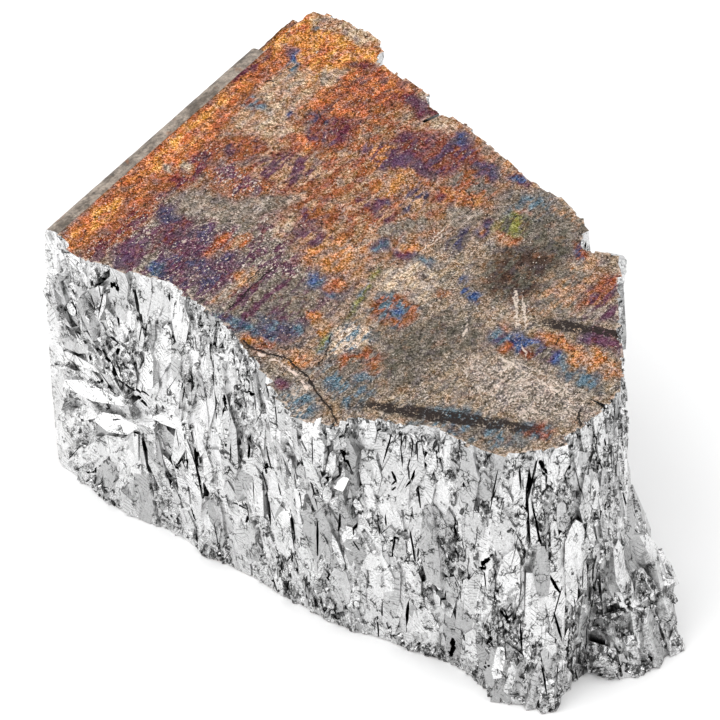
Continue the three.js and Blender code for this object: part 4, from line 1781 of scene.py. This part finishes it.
@dataclass(frozen=True)
class MouldSkin:
    """The mould wall, its rim and the base: grey oxide, mottled, with faint ripples, and painted shade in its
    hollows.

    Attributes:
        light: The oxide's lighter colour.
        dark: Its darker colour.
        rust: The colour of its few spots.
    """

    light: Colour = linear(168, 155, 142)
    dark: Colour = linear(100, 90, 80)
    rust: Colour = linear(150, 92, 48)

    def material(self) -> bpy.types.Material:
        """Builds the material.

        Returns:
            The material.
        """
        bench = NodeBench("mould_skin")
        spot = bench.millimetres()
        band = bench.cloud(bench.stretch(spot, (0.6, 0.35, 0.6)), 1.0, 5.0, 0.7)
        grain = bench.cloud(spot, 2.6, 4.0, 0.7)
        chip = bench.channel(bench.cells(bench.drift(spot, 1.2, 0.8), 1.1), 0)
        colour = bench.mix(bench.range(band, 0.38, 0.6), self.dark, self.light)
        chip = bench.range(chip, 0.0, 1.0, (0.78, 1.1))
        colour = bench.darken(colour, bench.times(bench.range(grain, 0.34, 0.6, (0.6, 1.1)), chip))
        spots = bench.range(bench.cloud(spot, 0.22, 4.0, 0.6), 0.6, 0.68, (0.0, 0.5))
        colour = bench.mix(spots, colour, self.rust)
        # Painted shade: faces that lie shut in hollows are darkened towards near black.
        painted_cleft_shade = bench.range(bench.attribute("open"), 0.3, 0.8, (0.8, 0.0))
        colour = bench.mix(painted_cleft_shade, colour, linear(30, 26, 22))
        return bench.finish(Base_Color=colour, Metallic=0.3, Normal=bench.bump(grain, 0.14 * MM, 0.7),
                            Roughness=bench.range(grain, 0.3, 0.7, (0.42, 0.62)))


# --- Studio ---


@dataclass
class Studio:
    """A plain pale floor, soft light and the camera.

    Attributes:
        azimuth: The camera's direction round the chunk, in degrees.
        elevation: Its height above the horizon, in degrees.
        distance: How far away it is.
        lens: Its focal length, in millimetres.
        aim: The point that it looks at.
    """

    azimuth: float = 34.0
    elevation: float = 42.0
    distance: float = 516 * MM
    lens: float = 200.0
    aim: tuple[float, float, float] = (-9.0 * MM, -1.5 * MM, 20 * MM)

    def floor(self) -> None:
        """Adds the pale floor."""
        bm = bmesh.new()
        bmesh.ops.create_grid(bm, x_segments=1, y_segments=1, size=4.0)
        mesh = bpy.data.meshes.new("studio_floor")
        bm.to_mesh(mesh)
        bm.free()
        made = add_object("studio_floor", mesh)
        bench = NodeBench("pale_floor")
        mesh.materials.append(bench.finish(Base_Color=(0.9, 0.9, 0.9, 1.0), Roughness=0.9))

    def world(self) -> None:
        """Lights the scene from all round, brighter overhead than at the horizon."""
        world = bpy.data.worlds.new("studio_light")
        bpy.context.scene.world = world
        world.use_nodes = True
        tree = world.node_tree
        coordinates = tree.nodes.new("ShaderNodeTexCoord")
        split = tree.nodes.new("ShaderNodeSeparateXYZ")
        ramp = tree.nodes.new("ShaderNodeValToRGB")
        stops = ((0.0, (0.74, 0.74, 0.75, 1)), (0.75, (1, 1, 1, 1)))
        for stop, (position, colour) in zip(ramp.color_ramp.elements, stops):
            stop.position = position
            stop.color = colour
        tree.links.new(coordinates.outputs["Generated"], split.inputs[0])
        tree.links.new(split.outputs["Z"], ramp.inputs[0])
        tree.links.new(ramp.outputs[0], tree.nodes["Background"].inputs["Color"])

    def softbox(self, name: str, azimuth: float, elevation: float, size: float, power: float) -> None:
        """Adds a square soft light that faces the chunk.

        Args:
            name: The light's name.
            azimuth: Direction round the chunk, in degrees, as the camera's.
            elevation: Height above the horizon, in degrees.
            size: Side of the square.
            power: Power in watts.
        """
        lamp = bpy.data.lights.new(name, "AREA")
        lamp.size = size
        lamp.energy = power
        self._face_chunk(add_object(name, lamp), azimuth, elevation, 0.8)

    def _face_chunk(self, made: Solid, azimuth: float, elevation: float, distance: float) -> None:
        """Puts a light or the camera in its place, turned to the chunk.

        Args:
            made: The light or the camera.
            azimuth: Direction round the chunk, in degrees.
            elevation: Height above the horizon, in degrees.
            distance: How far away it is.
        """
        turn, rise = math.radians(azimuth), math.radians(elevation)
        back = Vector((math.sin(turn) * math.cos(rise), -math.cos(turn) * math.cos(rise), math.sin(rise)))
        made.location = Vector(self.aim) + back * distance
        made.rotation_euler = back.to_track_quat("Z", "Y").to_euler()

    def camera(self) -> None:
        """Adds the camera."""
        data = bpy.data.cameras.new("camera")
        data.lens = self.lens
        data.clip_start = 0.01
        made = add_object("camera", data)
        self._face_chunk(made, self.azimuth, self.elevation, self.distance)
        bpy.context.scene.camera = made

    def build(self) -> None:
        """Sets up the whole studio."""
        self.camera()
        self.floor()
        self.world()
        self.softbox("key", -30, 50, 0.8, 4.5)
        self.softbox("fill", 100, 35, 0.6, 2.0)
        bpy.context.scene.view_settings.view_transform = "Standard"


def main() -> None:
    """Builds the studio and the chunk, in order."""
    logging.basicConfig(level=logging.INFO, format="%(name)s: %(message)s")
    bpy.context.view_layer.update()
    noise.seed_set(NOISE_SEED)
    Studio().build()
    maker = BismuthChunk()
    chunk = maker.build()
    maker.measure(chunk)
    maker.unroll(chunk, FlatSheet())
    maker.dress(chunk)
    chunk.data.calc_loop_triangles()
    log.info("%s: %d triangles", chunk.name, len(chunk.data.loop_triangles))
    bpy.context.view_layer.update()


if __name__ == "__main__":
    main()
